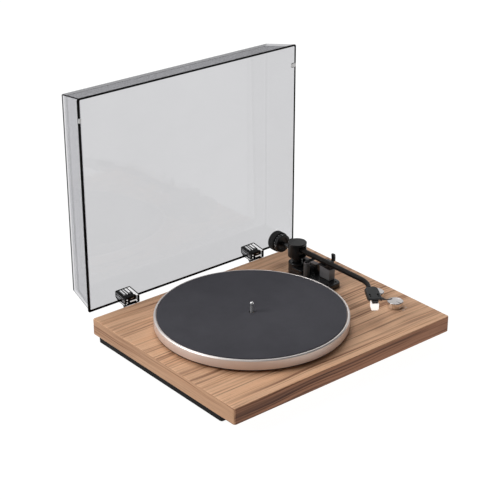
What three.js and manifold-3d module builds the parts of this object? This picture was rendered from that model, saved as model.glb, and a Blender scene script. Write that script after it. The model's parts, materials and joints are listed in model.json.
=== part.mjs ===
// Belt-drive record player: wood plinth, felt-topped platter, straight tonearm with an offset
// headshell, and a clear dust cover held open on two rear hinges.
// Millimetres, +Z up. Parts are placed from the centre of the plinth's top face: +X is the
// tonearm side, -Y the front. The last lines lift the player onto its feet.
import * as THREE from 'three';
import { mergeVertices } from 'three/addons/utils/BufferGeometryUtils.js';
import Module from 'manifold-3d';

const wasm = await Module();
wasm.setup();

// ---------------------------------------------------------------- driving dimensions
const GAP = 0.3;                      // clearance left between pieces that touch

const PLINTH = { width: 430, depth: 347, thick: 26.3, corner: 3, edge: 1.5 };
const PLINTH_BACK = PLINTH.depth / 2;
const PLINTH_UNDER = -PLINTH.thick;

const PAN = { width: 420, front: -138, back: 166, bottom: -40, wall: 3, draft: 0.4, corner: 3.6 };
const PAN_CHAMFER = 0.8;
const PAN_RIB = { thick: 2, height: 3, x: [-120, -40, 40, 120] };
const FOOT = { radius: 19, height: 6, inset: 30 };

const SPINDLE = new THREE.Vector2(-37.3, 2.1);
const SPINDLE_RADIUS = 3.55;
const SPINDLE_TOP = 38.3;
const BEARING = { radius: 9, flange: 17, bottom: -24, top: 2.6 };

const PLATTER = { radius: 150, bottom: 3, rim: 20.5, floor: 18.8, web: 14.5, rimInner: 138 };
const PLATTER_HUB = PLATTER.web - 5.2;
const MAT = { radius: 145.2, top: 21.1, thick: 2, hole: 4.2 };
const RING = { radius: 86, thick: 4, bottom: 5 };       // the belt runs round it
const BELT_HOLE = { radius: 12, reach: 99.5 };          // two holes to reach the belt by

const MOTOR = { reach: 112, angle: 140, radius: 17.5, flange: 21.5, top: -6.5, bottom: -34 };
const MOTOR_SHAFT = 1.5;
const PULLEY = { radius: 6.5, flange: 8.5 };
const BELT = { width: 5, thick: 0.8, bottom: 6 };

const KNOB = { radius: 12.75, height: 10, x: 173, speedY: -96.7, powerY: -54 };
const KNOB_SHAFT = 3;
const SWITCH = { half: 11, bottom: -24, top: -12.5, bushing: 4 };

const PIVOT = new THREE.Vector2(136, 93.7);
const BASE = { height: 20, low: 9, rear: 14.4, right: 156, front: 6, corner: 10 };
const PILLAR_RADIUS = 8;
const YOKE = { radius: 14.5, bottom: 30, top: 54, slot: 15, floor: 2.3, roof: 3.2 };
const PITCH_AXIS = 41.5;              // height of the gimbal points
const BEARING_BLOCK = { half: 9.5, low: 34.2, high: 48.4 };
const LIFT = { x: 127, y: 60, radius: 5.2, top: 32.5, barLow: 33.4, barHigh: 35.4 };
const RIDGE = { x0: 141, x1: 150.5, y0: 54, y1: 87, top: 26 };
const REST = { x0: 141, x1: 153.5, y0: 21, y1: 45, top: 28 };
const SKATE = { x: 151, y: 109, radius: 6.5, boss: 13.6 };
const LEVER = { y: 62, z: 15, x0: BASE.right + 0.4, reach: 29, raised: 12 };
const CLIP = { x: 149.2, z: 44.6, back: 24.5, depth: 5.4 };

const TUBE = { radius: 4.3, tip: 3.4, z: 43.6, straight: 150, bend: 42, offset: 34.5, end: 7.7 };
const TUBE_SPIGOT = TUBE.radius - 1;
const SHELL = { length: 42, width: 20.3, shift: 2.5, deck: 2.6, top: 46.6, wall: 1.8 };
const CARTRIDGE = { half: 4.8, flange: 8.2, length: 27, seam: 38 };
const STYLUS = { half: 6, length: 12, low: 23.4 };

const STUB = { radius: 3.6, z: 38.8, length: 58 };
const STUB_SPIGOT = STUB.radius - 1;
const WEIGHT = { radius: 16, back: 54.4, length: 13 };
const FORCE_RING = { radius: 15, length: 6.6 };

const JACK = { left: -150, right: -40, bottom: -36.7, top: -27 };
const SOCKET = { left: -134, right: -116, ground: -98, slide: -76, power: -54, z: -31.85 };

const HINGE_AXIS = { y: PLINTH_BACK + 12.25, z: -0.25 };
const HINGE = { x: [-134, 121.5], width: 27, nose: 11.6, knuckle: 4.2, pin: 2, reach: 19 };
const BRACKET = { sheet: 2.3, play: 0.8, low: -15.3, drop: 9, tab: 9 };
const LID = { width: 419.5, length: 347, depth: 60.3, draft: 10.2, wall: 3, corner: 3, rim: 2 };
const LID_OVERHANG = 7.3;             // how far the closed cover reaches behind the plinth
const BUMPER = { from: 29, to: 39, half: 1.4, thick: 1.6 };

const COLOUR = {
  walnut: 0x8a6448,
  black: 0x151516,
  satinBlack: 0x1d1e20,
  rubber: 0x202020,
  felt: 0x3e3e42,
  aluminium: 0xc9c8c6,
  chrome: 0xdfe0e2,
  brass: 0xb08d4c,
  steel: 0x9a9da1,
  smoke: 0xb9bbbe,
  white: 0xf1f1ef,
  red: 0xb3262a,
  green: 0x2c5a3c,
};

// ---------------------------------------------------------------- shape helpers
const player = new THREE.Group();

function piece(name, geometry, colour, parent = player, finish = {}) {
  const roughness = finish.roughness ?? 0.5;
  const metalness = finish.metalness ?? 0;
  const material = new THREE.MeshStandardMaterial({ color: colour, roughness, metalness });
  const mesh = new THREE.Mesh(geometry, material);
  mesh.name = name;
  parent.add(mesh);
  return mesh;
}

function groupAt(x, y, z, parent = player) {
  const group = new THREE.Group();
  group.position.set(x, y, z);
  parent.add(group);
  return group;
}

function toSolid(geometry) {
  const bare = geometry.clone();
  bare.deleteAttribute('normal');
  bare.deleteAttribute('uv');
  const merged = mergeVertices(bare, 1e-4);
  return new wasm.Manifold(new wasm.Mesh({
    numProp: 3,
    vertProperties: new Float32Array(merged.attributes.position.array),
    triVerts: new Uint32Array(merged.index.array),
  }));
}

function toGeometry(solid) {
  const mesh = solid.getMesh();
  const geometry = new THREE.BufferGeometry();
  geometry.setAttribute('position', new THREE.BufferAttribute(mesh.vertProperties, 3));
  geometry.setIndex(new THREE.BufferAttribute(mesh.triVerts, 1));
  geometry.computeVertexNormals();
  return geometry;
}

function cut(base, ...tools) {
  return toGeometry(tools.reduce((left, tool) => left.subtract(toSolid(tool)), toSolid(base)));
}

function join(base, ...extras) {
  return toGeometry(extras.reduce((sum, extra) => sum.add(toSolid(extra)), toSolid(base)));
}

function common(base, tool) {
  return toGeometry(toSolid(base).intersect(toSolid(tool)));
}

// A box given by its lowest and highest corners.
function block(x0, x1, y0, y1, z0, z1) {
  const box = new THREE.BoxGeometry(x1 - x0, y1 - y0, z1 - z0);
  return box.translate((x0 + x1) / 2, (y0 + y1) / 2, (z0 + z1) / 2);
}

// A solid turned about the Z axis from [radius, height] points.
function turned(profile, segments = 24) {
  const points = profile.map(([radius, height]) => new THREE.Vector2(radius, height));
  const closed = profile[0][0] > 0 ? [...points, points[0].clone()] : points;
  return new THREE.LatheGeometry(closed, segments).rotateX(Math.PI / 2);
}

// A cylinder standing on the XY plane between two heights.
function rod(radius, z0, z1, segments = 16) {
  return turned([[0, z0], [radius, z0], [radius, z1], [0, z1]], segments);
}

// The same, along X or Y.
function rodX(radius, x0, x1, y, z, segments = 14) {
  return rod(radius, x0, x1, segments).rotateY(Math.PI / 2).translate(0, y, z);
}

function rodY(radius, y0, y1, x, z, segments = 14) {
  return rod(radius, -y1, -y0, segments).rotateX(Math.PI / 2).translate(x, 0, z);
}

function roundedRectangle(x0, x1, y0, y1, radius) {
  const shape = new THREE.Shape();
  shape.moveTo(x0 + radius, y0);
  shape.lineTo(x1 - radius, y0);
  shape.absarc(x1 - radius, y0 + radius, radius, -Math.PI / 2, 0);
  shape.lineTo(x1, y1 - radius);
  shape.absarc(x1 - radius, y1 - radius, radius, 0, Math.PI / 2);
  shape.lineTo(x0 + radius, y1);
  shape.absarc(x0 + radius, y1 - radius, radius, Math.PI / 2, Math.PI);
  shape.lineTo(x0, y0 + radius);
  shape.absarc(x0 + radius, y0 + radius, radius, Math.PI, Math.PI * 1.5);
  return shape;
}

// An outline raised from z0 to z1, its edges rounded by `edge` where one is given.
function raised(shape, z0, z1, edge = 0, curveSegments = 3) {
  const rounded = edge > 0;
  return new THREE.ExtrudeGeometry(shape, {
    depth: z1 - z0 - 2 * edge,
    bevelEnabled: rounded,
    bevelThickness: edge,
    bevelSize: edge,
    bevelOffset: -edge,
    bevelSegments: 1,
    curveSegments,
  }).translate(0, 0, z0 + edge);
}

// A profile drawn in the YZ plane and carried along X.
function profileAlongX(shape, x0, x1, curveSegments = 6) {
  const options = { depth: x1 - x0, bevelEnabled: false, curveSegments };
  const solid = new THREE.ExtrudeGeometry(shape, options);
  return solid.rotateY(Math.PI / 2).rotateX(Math.PI / 2).translate(x0, 0, 0);
}

function polygon(points) {
  return new THREE.Shape(points.map(([x, y]) => new THREE.Vector2(x, y)));
}

// A closed skin through convex outlines of equal point count, stacked from the bottom up.
function loft(outlines) {
  const count = outlines[0].length;
  const positions = outlines.flat().flatMap((point) => [point.x, point.y, point.z]);
  const index = [];
  for (let level = 0; level < outlines.length - 1; level += 1) {
    for (let i = 0; i < count; i += 1) {
      const a = level * count + i;
      const b = level * count + (i + 1) % count;
      index.push(a, b, b + count, a, b + count, a + count);
    }
  }
  const top = (outlines.length - 1) * count;
  for (let i = 1; i < count - 1; i += 1) {
    index.push(0, i + 1, i, top, top + i, top + i + 1);
  }
  const geometry = new THREE.BufferGeometry();
  geometry.setAttribute('position', new THREE.Float32BufferAttribute(positions, 3));
  geometry.setIndex(index);
  geometry.computeVertexNormals();
  return geometry;
}

// The outline of a rounded rectangle at height z, as a ring of points.
function ringAt(x0, x1, y0, y1, radius, z, curveSegments = 3) {
  const outline = roundedRectangle(x0, x1, y0, y1, radius).extractPoints(curveSegments).shape;
  return outline.slice(0, -1).map((point) => new THREE.Vector3(point.x, point.y, z));
}

// ---------------------------------------------------------------- plinth, base pan and feet
function addPlinth() {
  const { width, depth, corner, edge } = PLINTH;
  const outline = roundedRectangle(-width / 2, width / 2, -depth / 2, depth / 2, corner);
  const board = raised(outline, PLINTH_UNDER, 0, edge, 3);
  const through = PLINTH_UNDER - 1;
  const motor = motorPlace();
  const hole = (radius, at, top = 1, segments = 16) => rod(radius, through, top, segments)
    .translate(at.x, at.y, 0);
  const pocket = (x0, x1, y0, y1, top) => block(x0, x1, y0, y1, through, top);
  const solid = cut(
    board,
    hole(BEARING.radius + GAP, SPINDLE),
    hole(PULLEY.flange + 2.5, motor),
    hole(MOTOR.flange + 3.5, motor, MOTOR.top + 0.5, 20),
    hole(5.5, PIVOT),
    ...[KNOB.speedY, KNOB.powerY].map((y) => hole(SWITCH.bushing + 0.5, { x: KNOB.x, y }, 1, 12)),
    pocket(KNOB.x - 17, KNOB.x + 17, KNOB.speedY - 18, KNOB.powerY + 18, SWITCH.top + 0.5),
    pocket(PIVOT.x - 12, PIVOT.x + 12, PIVOT.y - 12, PIVOT.y + 12, -20),
  );
  piece('plinth', solid, COLOUR.walnut, player, { roughness: 0.55 });
}

function addBasePan() {
  const { width, front, back, bottom, wall, draft, corner } = PAN;
  const top = PLINTH_UNDER - GAP;
  const half = width / 2;
  const section = (inset, z, radius = corner) => ringAt(
    inset - half, half - inset, front + inset, back - inset, radius, z, 2);
  const outer = loft([
    section(draft + PAN_CHAMFER, bottom),
    section(draft, bottom + PAN_CHAMFER),
    section(0, top),
  ]);
  const floor = bottom + wall;
  const inner = loft([
    section(wall + draft, floor, corner - wall),
    section(wall, top + 1, corner - wall),
  ]);
  const ribTop = floor + PAN_RIB.height;
  const ribs = PAN_RIB.x.map((x) => block(x - 1, x + 1, front + 2, back - 2, floor - 1, ribTop));
  const crossRib = block(-half + 2, half - 2, 13, 13 + PAN_RIB.thick, floor - 1, ribTop);
  const feet = footPlaces();
  const bosses = feet.map(([x, y]) => rod(8, floor - 1, top, 12).translate(x, y, 0));
  const screwHoles = feet.map(([x, y]) => rod(2.2, bottom - 1, top + 1, 8).translate(x, y, 0));
  const jackCutout = block(
    JACK.left - GAP, JACK.right + GAP, back - wall - 1, back + 1, JACK.bottom - GAP, top + 1);
  const motor = motorPlace();
  const motorWell = rod(MOTOR.radius + 2, floor - 0.5, ribTop + 1, 20).translate(motor.x, motor.y, 0);
  const ribbed = join(cut(outer, inner), ...ribs, crossRib, ...bosses);
  const pan = cut(ribbed, ...screwHoles, jackCutout, motorWell);
  piece('base_pan', pan, COLOUR.black, player, { roughness: 0.6 });
}

function footPlaces() {
  const x = PAN.width / 2 - FOOT.inset;
  return [PAN.front + FOOT.inset, PAN.back - FOOT.inset].flatMap((y) => [[-x, y], [x, y]]);
}

function addFeet() {
  const top = PAN.bottom - GAP;
  const bottom = PAN.bottom - FOOT.height;
  const names = ['foot_front_left', 'foot_front_right', 'foot_rear_left', 'foot_rear_right'];
  const screwWell = 6.5;
  const profile = [
    [0, bottom],
    [FOOT.radius - 2, bottom],
    [FOOT.radius, bottom + 1.6],
    [FOOT.radius - 0.6, top],
    [screwWell, top],
    [screwWell, top - 3],
    [0, top - 3],
  ];
  footPlaces().forEach(([x, y], i) => {
    piece(names[i], turned(profile, 14), COLOUR.rubber, groupAt(x, y, 0), { roughness: 0.9 });
  });
}

// ---------------------------------------------------------------- main bearing and platter
function addBearing() {
  const place = groupAt(SPINDLE.x, SPINDLE.y, 0);
  const bore = SPINDLE_RADIUS + 0.2;
  const { radius, flange, bottom, top } = BEARING;
  const seat = bottom + 4;
  const housing = turned([
    [0, bottom],
    [radius - 1.5, bottom],
    [radius, bottom + 1.5],
    [radius, GAP],
    [flange, GAP],
    [flange, top - 0.8],
    [flange - 1.5, top],
    [bore, top],
    [bore, seat],
    [0, seat],
  ], 16);
  piece('bearing_housing', housing, COLOUR.brass, place, { roughness: 0.35, metalness: 1 });
  const tip = seat + GAP;
  const shoulder = PLATTER_HUB - GAP;
  const collar = 11;
  const spindle = turned([
    [0, tip],
    [SPINDLE_RADIUS - 1.2, tip + 0.6],
    [SPINDLE_RADIUS, tip + 2],
    [SPINDLE_RADIUS, top + 2.4],
    [collar, top + 2.4],
    [collar, shoulder],
    [SPINDLE_RADIUS, shoulder],
    [SPINDLE_RADIUS, SPINDLE_TOP - 3.4],
    [SPINDLE_RADIUS - 0.5, SPINDLE_TOP - 1.6],
    [SPINDLE_RADIUS - 1.7, SPINDLE_TOP - 0.4],
    [0, SPINDLE_TOP],
  ], 14);
  piece('spindle', spindle, COLOUR.chrome, place, { roughness: 0.15, metalness: 1 });
}

function addPlatter() {
  const { radius, bottom, rim, floor, web, rimInner } = PLATTER;
  const bore = SPINDLE_RADIUS + GAP;
  const lip = 1.2;
  const casting = turned([
    [bore, PLATTER_HUB],
    [14, PLATTER_HUB],
    [16, web],
    [RING.radius - RING.thick, web],
    [RING.radius - RING.thick, RING.bottom],
    [RING.radius, RING.bottom],
    [RING.radius, web],
    [rimInner, web],
    [rimInner + 1, bottom],
    [radius, bottom],
    [radius, rim - lip],
    [radius - lip, rim],
    [MAT.radius + 1, rim],
    [MAT.radius + 1, floor],
    [bore, floor],
  ], 45);
  const beltHoles = [0, 180].map((angle) => {
    const turn = THREE.MathUtils.degToRad(MOTOR.angle + angle);
    const hole = rod(BELT_HOLE.radius, web - 3, floor + 1, 12);
    return hole.translate(BELT_HOLE.reach * Math.cos(turn), BELT_HOLE.reach * Math.sin(turn), 0);
  });
  const place = groupAt(SPINDLE.x, SPINDLE.y, 0);
  const platter = cut(casting, ...beltHoles);
  piece('platter', platter, COLOUR.aluminium, place, { roughness: 0.3, metalness: 1 });
  const low = MAT.top - MAT.thick;
  const mat = turned([
    [MAT.hole, low],
    [MAT.radius, low],
    [MAT.radius, MAT.top],
    [MAT.hole, MAT.top],
  ], 45);
  piece('platter_mat', mat, COLOUR.felt, place, { roughness: 1 });
}

// ---------------------------------------------------------------- motor, pulley and belt
function motorPlace() {
  const { angle, reach } = MOTOR;
  const toMotor = new THREE.Vector2(reach, 0);
  return toMotor.rotateAround(new THREE.Vector2(), THREE.MathUtils.degToRad(angle)).add(SPINDLE);
}

function addMotor() {
  const { x, y } = motorPlace();
  const place = groupAt(x, y, 0);
  const { radius, flange, top, bottom } = MOTOR;
  const bore = MOTOR_SHAFT + GAP;
  const boss = 5;
  const plate = top - 2.5;
  const boreEnd = bottom + 8;
  const can = turned([
    [0, bottom],
    [4, bottom],
    [4, bottom + 1.5],
    [radius, bottom + 1.5],
    [radius, plate],
    [flange, plate],
    [flange, top],
    [boss, top],
    [boss, top + 3],
    [bore, top + 3],
    [bore, boreEnd],
    [0, boreEnd],
  ], 16);
  piece('motor', can, COLOUR.steel, place, { roughness: 0.4, metalness: 1 });
  const low = BELT.bottom - 1.6;
  const high = BELT.bottom + BELT.width + 1.6;
  const axle = rod(MOTOR_SHAFT, boreEnd + GAP, high - 0.2, 12);
  piece('motor_shaft', axle, COLOUR.steel, place, { roughness: 0.2, metalness: 1 });
  const crown = 0.4;                  // the belt centres itself on a slightly barrelled tread
  const wheel = turned([
    [bore, low],
    [PULLEY.flange, low],
    [PULLEY.flange, low + 1],
    [PULLEY.radius - crown, low + 1.3],
    [PULLEY.radius, (low + high) / 2],
    [PULLEY.radius - crown, high - 1.3],
    [PULLEY.flange, high - 1],
    [PULLEY.flange, high],
    [bore, high],
  ], 14);
  piece('motor_pulley', wheel, COLOUR.brass, place, { roughness: 0.3, metalness: 1 });
}

// The belt is the tight loop round the platter's drive ring and the pulley.
function beltOutline(big, small) {
  const lean = Math.acos((big - small) / MOTOR.reach);
  const shape = new THREE.Shape();
  shape.absarc(0, 0, big, lean, 2 * Math.PI - lean, false);
  shape.absarc(MOTOR.reach, 0, small, -lean, lean, false);
  shape.closePath();
  return shape;
}

function addBelt() {
  const inner = [RING.radius + GAP, PULLEY.radius + GAP];
  const outline = beltOutline(inner[0] + BELT.thick, inner[1] + BELT.thick);
  outline.holes.push(beltOutline(inner[0], inner[1]));
  const loop = raised(outline, BELT.bottom, BELT.bottom + BELT.width, 0, 16);
  const place = groupAt(SPINDLE.x, SPINDLE.y, 0);
  const belt = piece('drive_belt', loop, COLOUR.rubber, place, { roughness: 0.9 });
  belt.rotation.z = THREE.MathUtils.degToRad(MOTOR.angle);
}

// ---------------------------------------------------------------- knobs and their switches
function addKnob(name, y) {
  const place = groupAt(KNOB.x, y, 0);
  const { radius, height } = KNOB;
  const low = 0.6;
  const skirt = radius - 1.6;
  const socket = 7.5;
  const cap = turned([
    [KNOB_SHAFT + GAP, low],
    [6, low],
    [6, low + 1.8],
    [skirt, low + 1.8],
    [skirt, low],
    [radius, low],
    [radius, height - 0.8],
    [radius - 0.8, height],
    [0, height - 0.4],
    [0, socket],
    [KNOB_SHAFT + GAP, socket],
  ], 18);
  const notch = block(-0.7, 0.7, -radius - 1, -radius + 5.5, height - 1.1, height + 1);
  piece(`${name}_knob`, cut(cap, notch), COLOUR.aluminium, place, { roughness: 0.25, metalness: 1 });
  const shaftEnd = socket - GAP;
  const shaft = turned([
    [0, -13],
    [KNOB_SHAFT, -13],
    [KNOB_SHAFT, shaftEnd - 0.8],
    [KNOB_SHAFT - 0.6, shaftEnd],
    [0, shaftEnd],
  ], 12);
  piece(`${name}_shaft`, shaft, COLOUR.steel, place, { roughness: 0.3, metalness: 1 });
  const { half, bottom, top, bushing } = SWITCH;
  const body = raised(roundedRectangle(-half, half, -half, half, 1.5), bottom, top, 0, 2);
  const sleeve = rod(bushing, top - 0.5, -1, 12);
  const bore = rod(KNOB_SHAFT + 0.2, -13.4, 0, 12);
  const pins = [-6, -2, 2, 6].map((x) => block(x - 0.5, x + 0.5, -9, -8, bottom - 2, bottom + 0.5));
  const housing = cut(join(body, sleeve, ...pins), bore);
  piece(`${name}_switch`, housing, COLOUR.satinBlack, place, { roughness: 0.6 });
}

// ---------------------------------------------------------------- tonearm base, lift and rest
// Plan of the arm base: a round back on the pivot, a blunt rounded front.
function armBaseOutline() {
  const { rear, right, front, corner } = BASE;
  const left = PIVOT.x - rear;
  const shape = new THREE.Shape();
  shape.moveTo(PIVOT.x + rear, PIVOT.y);
  shape.absarc(PIVOT.x, PIVOT.y, rear, 0, Math.PI);
  shape.lineTo(left, front + corner);
  shape.absarc(left + corner, front + corner, corner, Math.PI, Math.PI * 1.5);
  shape.lineTo(right - corner, front);
  shape.absarc(right - corner, front + corner, corner, -Math.PI / 2, 0);
  shape.lineTo(right, PIVOT.y - 30);
  return shape;
}

function addArmBase() {
  const { x, y } = PIVOT;
  const { rear, right, low, height } = BASE;
  const seam = low - 1;
  const plate = raised(armBaseOutline(), GAP, low, 0.8, 3);
  const drum = turned([
    [0, seam],
    [rear - 0.1, seam],
    [rear - 0.1, height - 0.9],
    [rear - 1, height],
    [0, height],
  ], 24).translate(x, y, 0);
  const shoulder = (x0, x1, y0, y1, corner, top) => raised(
    roundedRectangle(x0, x1, y0, y1, corner), seam, top, 0.5, 2);
  const solid = join(
    plate,
    drum,
    shoulder(x - rear, x + rear, y - 26, y, 5, height - 5),
    shoulder(RIDGE.x0, RIDGE.x1, RIDGE.y0, RIDGE.y1, 1.2, RIDGE.top),
    shoulder(142, right, LEVER.y - 6, LEVER.y + 6, 2, 20.5),
    rod(LIFT.radius, seam, LIFT.top, 14).translate(LIFT.x, LIFT.y, 0),
    rod(SKATE.radius + 2, GAP, SKATE.boss, 16).translate(SKATE.x, SKATE.y, 0),
  );
  const bored = cut(
    solid,
    rodX(2.3, 145, right + 1, LEVER.y, LEVER.z, 10),
    rod(2.2, 22, LIFT.top + 1, 10).translate(LIFT.x, LIFT.y, 0),
    rod(PILLAR_RADIUS - 2 + GAP, -1, height + 1, 16).translate(x, y, 0),
    rod(2.3, 4, SKATE.boss + 1, 10).translate(SKATE.x, SKATE.y, 0),
  );
  piece('arm_base', bored, COLOUR.black, player, { roughness: 0.25 });
}

function addArmPillar() {
  const bore = 3.4;
  const stem = PILLAR_RADIUS - 2;
  const top = YOKE.bottom - 1;
  const pillar = turned([
    [bore, -12],
    [stem - 1, -12],
    [stem - 1, -0.2],
    [stem, 0.4],
    [stem, BASE.height + GAP],
    [PILLAR_RADIUS, BASE.height + GAP],
    [PILLAR_RADIUS, top - 1.2],
    [PILLAR_RADIUS - 1, top],
    [bore, top],
  ], 16);
  const place = groupAt(PIVOT.x, PIVOT.y, 0);
  piece('arm_pillar', pillar, COLOUR.satinBlack, place, { roughness: 0.35, metalness: 0.6 });
}

function addAntiSkateDial() {
  const place = groupAt(SKATE.x, SKATE.y, 0);
  const { radius, boss } = SKATE;
  const low = boss + GAP;
  const top = boss + 5.8;
  const dial = turned([
    [0, 5],
    [2, 5],
    [2, low],
    [radius, low],
    [radius, top - 0.8],
    [radius - 0.8, top],
    [0, top],
  ], 18);
  const groove = block(-0.5, 0.5, -radius - 1, -1.5, top - 0.6, top + 1);
  piece('anti_skate_dial', cut(dial, groove), COLOUR.satinBlack, place, { roughness: 0.4 });
}

function addCueLift() {
  const stem = rod(1.9, 24, LIFT.barLow + 0.5, 10).translate(LIFT.x, LIFT.y, 0);
  const plan = roundedRectangle(LIFT.x - 4.2, LIFT.x + 20, LIFT.y - 3, LIFT.y + 3, 2.8);
  const bar = raised(plan, LIFT.barLow, LIFT.barHigh, 0, 3);
  piece('lift_bar', join(bar, stem), COLOUR.satinBlack, player, { roughness: 0.6 });
}

function addCueLever() {
  const place = groupAt(0, LEVER.y, LEVER.z);
  const axle = rodX(2, 146, LEVER.x0 + 3.2, 0, 0, 10);
  const boss = rodX(4.4, LEVER.x0, LEVER.x0 + 3.6, 0, 0, 16);
  const arm = rodY(1.5, -LEVER.reach, -2, LEVER.x0 + 1.8, 0, 8);
  const grip = turned([[0, 0], [2.2, 0.6], [2.5, 4], [2.5, 9], [1.7, 10.4], [0, 10.6]], 10)
    .rotateX(Math.PI / 2).translate(LEVER.x0 + 1.8, -LEVER.reach + 4, 0);
  const whole = join(axle, boss, arm, grip);
  const lever = piece('cue_lever', whole, COLOUR.satinBlack, place, { roughness: 0.4 });
  lever.rotation.x = THREE.MathUtils.degToRad(-LEVER.raised);
}

// The rest is a block whose hook runs under the tube and stands up beside it. Its platter side
// stays below the tube, so that the arm swings straight out over the record.
function addArmRest() {
  const { x0, x1, y0, y1, top } = REST;
  const low = BASE.low + GAP;
  const body = raised(roundedRectangle(x0, x1, y0, y1, 1.5), low, top, 0.5, 3);
  const hook = new THREE.Shape();
  const lip = TUBE.z - TUBE.radius - 0.5;
  const cx = PIVOT.x;
  hook.moveTo(x0 + 1, top - 1);
  hook.lineTo(x1 - 1.5, top - 1);
  hook.lineTo(x1 - 1.5, 40.4);
  hook.lineTo(cx + 5.9, 40.4);
  hook.absarc(cx + 0.4, TUBE.z, TUBE.radius + 0.7, -0.4, -Math.PI / 2 + 0.15, true);
  hook.lineTo(cx - 6, lip);
  hook.lineTo(cx - 6, lip - 2.4);
  hook.lineTo(x0 + 1, lip - 4.4);
  const cradle = new THREE.ExtrudeGeometry(hook, { depth: 14, bevelEnabled: false, curveSegments: 5 })
    .rotateX(Math.PI / 2).translate(0, y0 + 15.5, 0);
  piece('arm_rest', join(body, cradle), COLOUR.satinBlack, player, { roughness: 0.5 });
}

// The clip stands open beside the tube and swings over it about an axis along Y.
function addArmClip() {
  const place = groupAt(CLIP.x, CLIP.back, CLIP.z);
  const strip = new THREE.Shape();
  strip.moveTo(-1.6, -2);
  strip.lineTo(1.6, -2);
  strip.quadraticCurveTo(2.6, 4, 1.4, 7.4);
  strip.lineTo(-0.6, 10.6);
  strip.lineTo(-2.2, 9.6);
  strip.quadraticCurveTo(-0.4, 4, -1.6, -2);
  const options = { depth: CLIP.depth, bevelEnabled: false, curveSegments: 5 };
  const hook = new THREE.ExtrudeGeometry(strip, options).rotateX(Math.PI / 2);
  piece('arm_clip', hook, COLOUR.satinBlack, place, { roughness: 0.5 });
}

// ---------------------------------------------------------------- tonearm
// The arm's own groups: x, y from the pivot's axis, z from the plinth's top.
function addYoke(place) {
  const { radius, bottom, top, slot, floor, roof } = YOKE;
  const body = turned([
    [0, bottom],
    [radius, bottom],
    [radius, top - 1.4],
    [radius + 0.6, top - 1],
    [radius - 0.4, top],
    [0, top + 0.3],
  ], 28);
  const window = block(-slot / 2, slot / 2, -radius - 2, radius + 2, bottom + floor, top - roof);
  const shaft = rod(3, -9, bottom + 1, 12);
  const points = rodX(1.7, -radius - 1, radius + 1, 0, PITCH_AXIS, 10);
  const solid = cut(join(body, shaft), window, points);
  piece('arm_yoke', solid, COLOUR.satinBlack, place, { roughness: 0.35, metalness: 0.4 });
}

// A slotted screw whose cone seats in the arm's bearing block.
function addPivotScrew(name, side, place) {
  const { radius, slot } = YOKE;
  const profile = [
    [0, slot / 2 - 2.6],
    [1.4, slot / 2 - 0.6],
    [1.4, radius - 0.6],
    [0, radius - 0.6],
  ];
  const screw = turned(profile, 10);
  const drive = block(-0.3, 0.3, -2, 2, radius - 1.3, radius);
  const solid = cut(screw, drive).rotateY((side * Math.PI) / 2).translate(0, 0, PITCH_AXIS);
  piece(name, solid, COLOUR.steel, place, { roughness: 0.3, metalness: 1 });
}

function addBearingBlock(place) {
  const side = YOKE.slot / 2 - 1;
  const { half, low, high } = BEARING_BLOCK;
  const core = raised(roundedRectangle(-side, side, -half, half, 2), low, high, 0.6, 2);
  const seats = [-1, 1].map((hand) => turned([[0, side - 2.4], [2.6, side + 0.6], [0, side + 0.6]], 10)
    .rotateY((hand * Math.PI) / 2).translate(0, 0, PITCH_AXIS));
  const tubeBore = rodY(TUBE_SPIGOT + GAP, -half - 1, -3, 0, TUBE.z, 12);
  const stubBore = rodY(STUB_SPIGOT + GAP, 3, half + 1, 0, STUB.z, 12);
  const bored = cut(core, ...seats, tubeBore, stubBore);
  piece('arm_bearing_block', bored, COLOUR.satinBlack, place, { roughness: 0.4 });
}

// A ring of points across the arm, where it has turned `turn` from straight ahead.
function armSection(x, y, turn, radius, sides = 12) {
  const across = new THREE.Vector3(Math.cos(turn), -Math.sin(turn), 0);
  return Array.from({ length: sides }, (_, i) => {
    const angle = (i / sides) * 2 * Math.PI;
    const point = new THREE.Vector3(x, y, TUBE.z + radius * Math.sin(angle));
    return point.addScaledVector(across, radius * Math.cos(angle));
  });
}

// Where the bend's centre line is, once it has turned by `turn`.
function bendPoint(turn) {
  const { bend, straight } = TUBE;
  return new THREE.Vector2(-bend * (1 - Math.cos(turn)), -straight - bend * Math.sin(turn));
}

// One tapering tube: straight ahead, one bend to the offset angle, and a short straight end.
function addArmTube(place) {
  const { radius, tip, offset, end } = TUBE;
  const turn = THREE.MathUtils.degToRad(offset);
  const steps = 8;
  const atBend = radius - 0.4;
  const root = BEARING_BLOCK.half + GAP;
  const sections = [armSection(0, -root, 0, radius)];
  for (let i = 0; i <= steps; i += 1) {
    const part = i / steps;
    const { x, y } = bendPoint(part * turn);
    sections.push(armSection(x, y, part * turn, THREE.MathUtils.lerp(atBend, tip, part)));
  }
  const ahead = new THREE.Vector2(-Math.sin(turn), -Math.cos(turn));
  const last = bendPoint(turn).addScaledVector(ahead, end);
  sections.push(armSection(last.x, last.y, turn, tip));
  const spigot = rodY(TUBE_SPIGOT, -root - 1, -4, 0, TUBE.z, 12);
  const tube = join(loft(sections), spigot);
  piece('arm_tube', tube, COLOUR.satinBlack, place, { roughness: 0.3, metalness: 0.3 });
}

// The headshell's own group: its origin is where the bend ends, +X to the right of the arm seen
// from above and -Y straight ahead along the cartridge.
function headshellGroup(place) {
  const turn = THREE.MathUtils.degToRad(TUBE.offset);
  const { x, y } = bendPoint(turn);
  const head = groupAt(x, y, 0, place);
  head.rotation.z = -turn;
  return groupAt(SHELL.shift, 0, 0, head);
}

const shellBack = -TUBE.end - GAP;
const shellFront = shellBack - SHELL.length;

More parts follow.
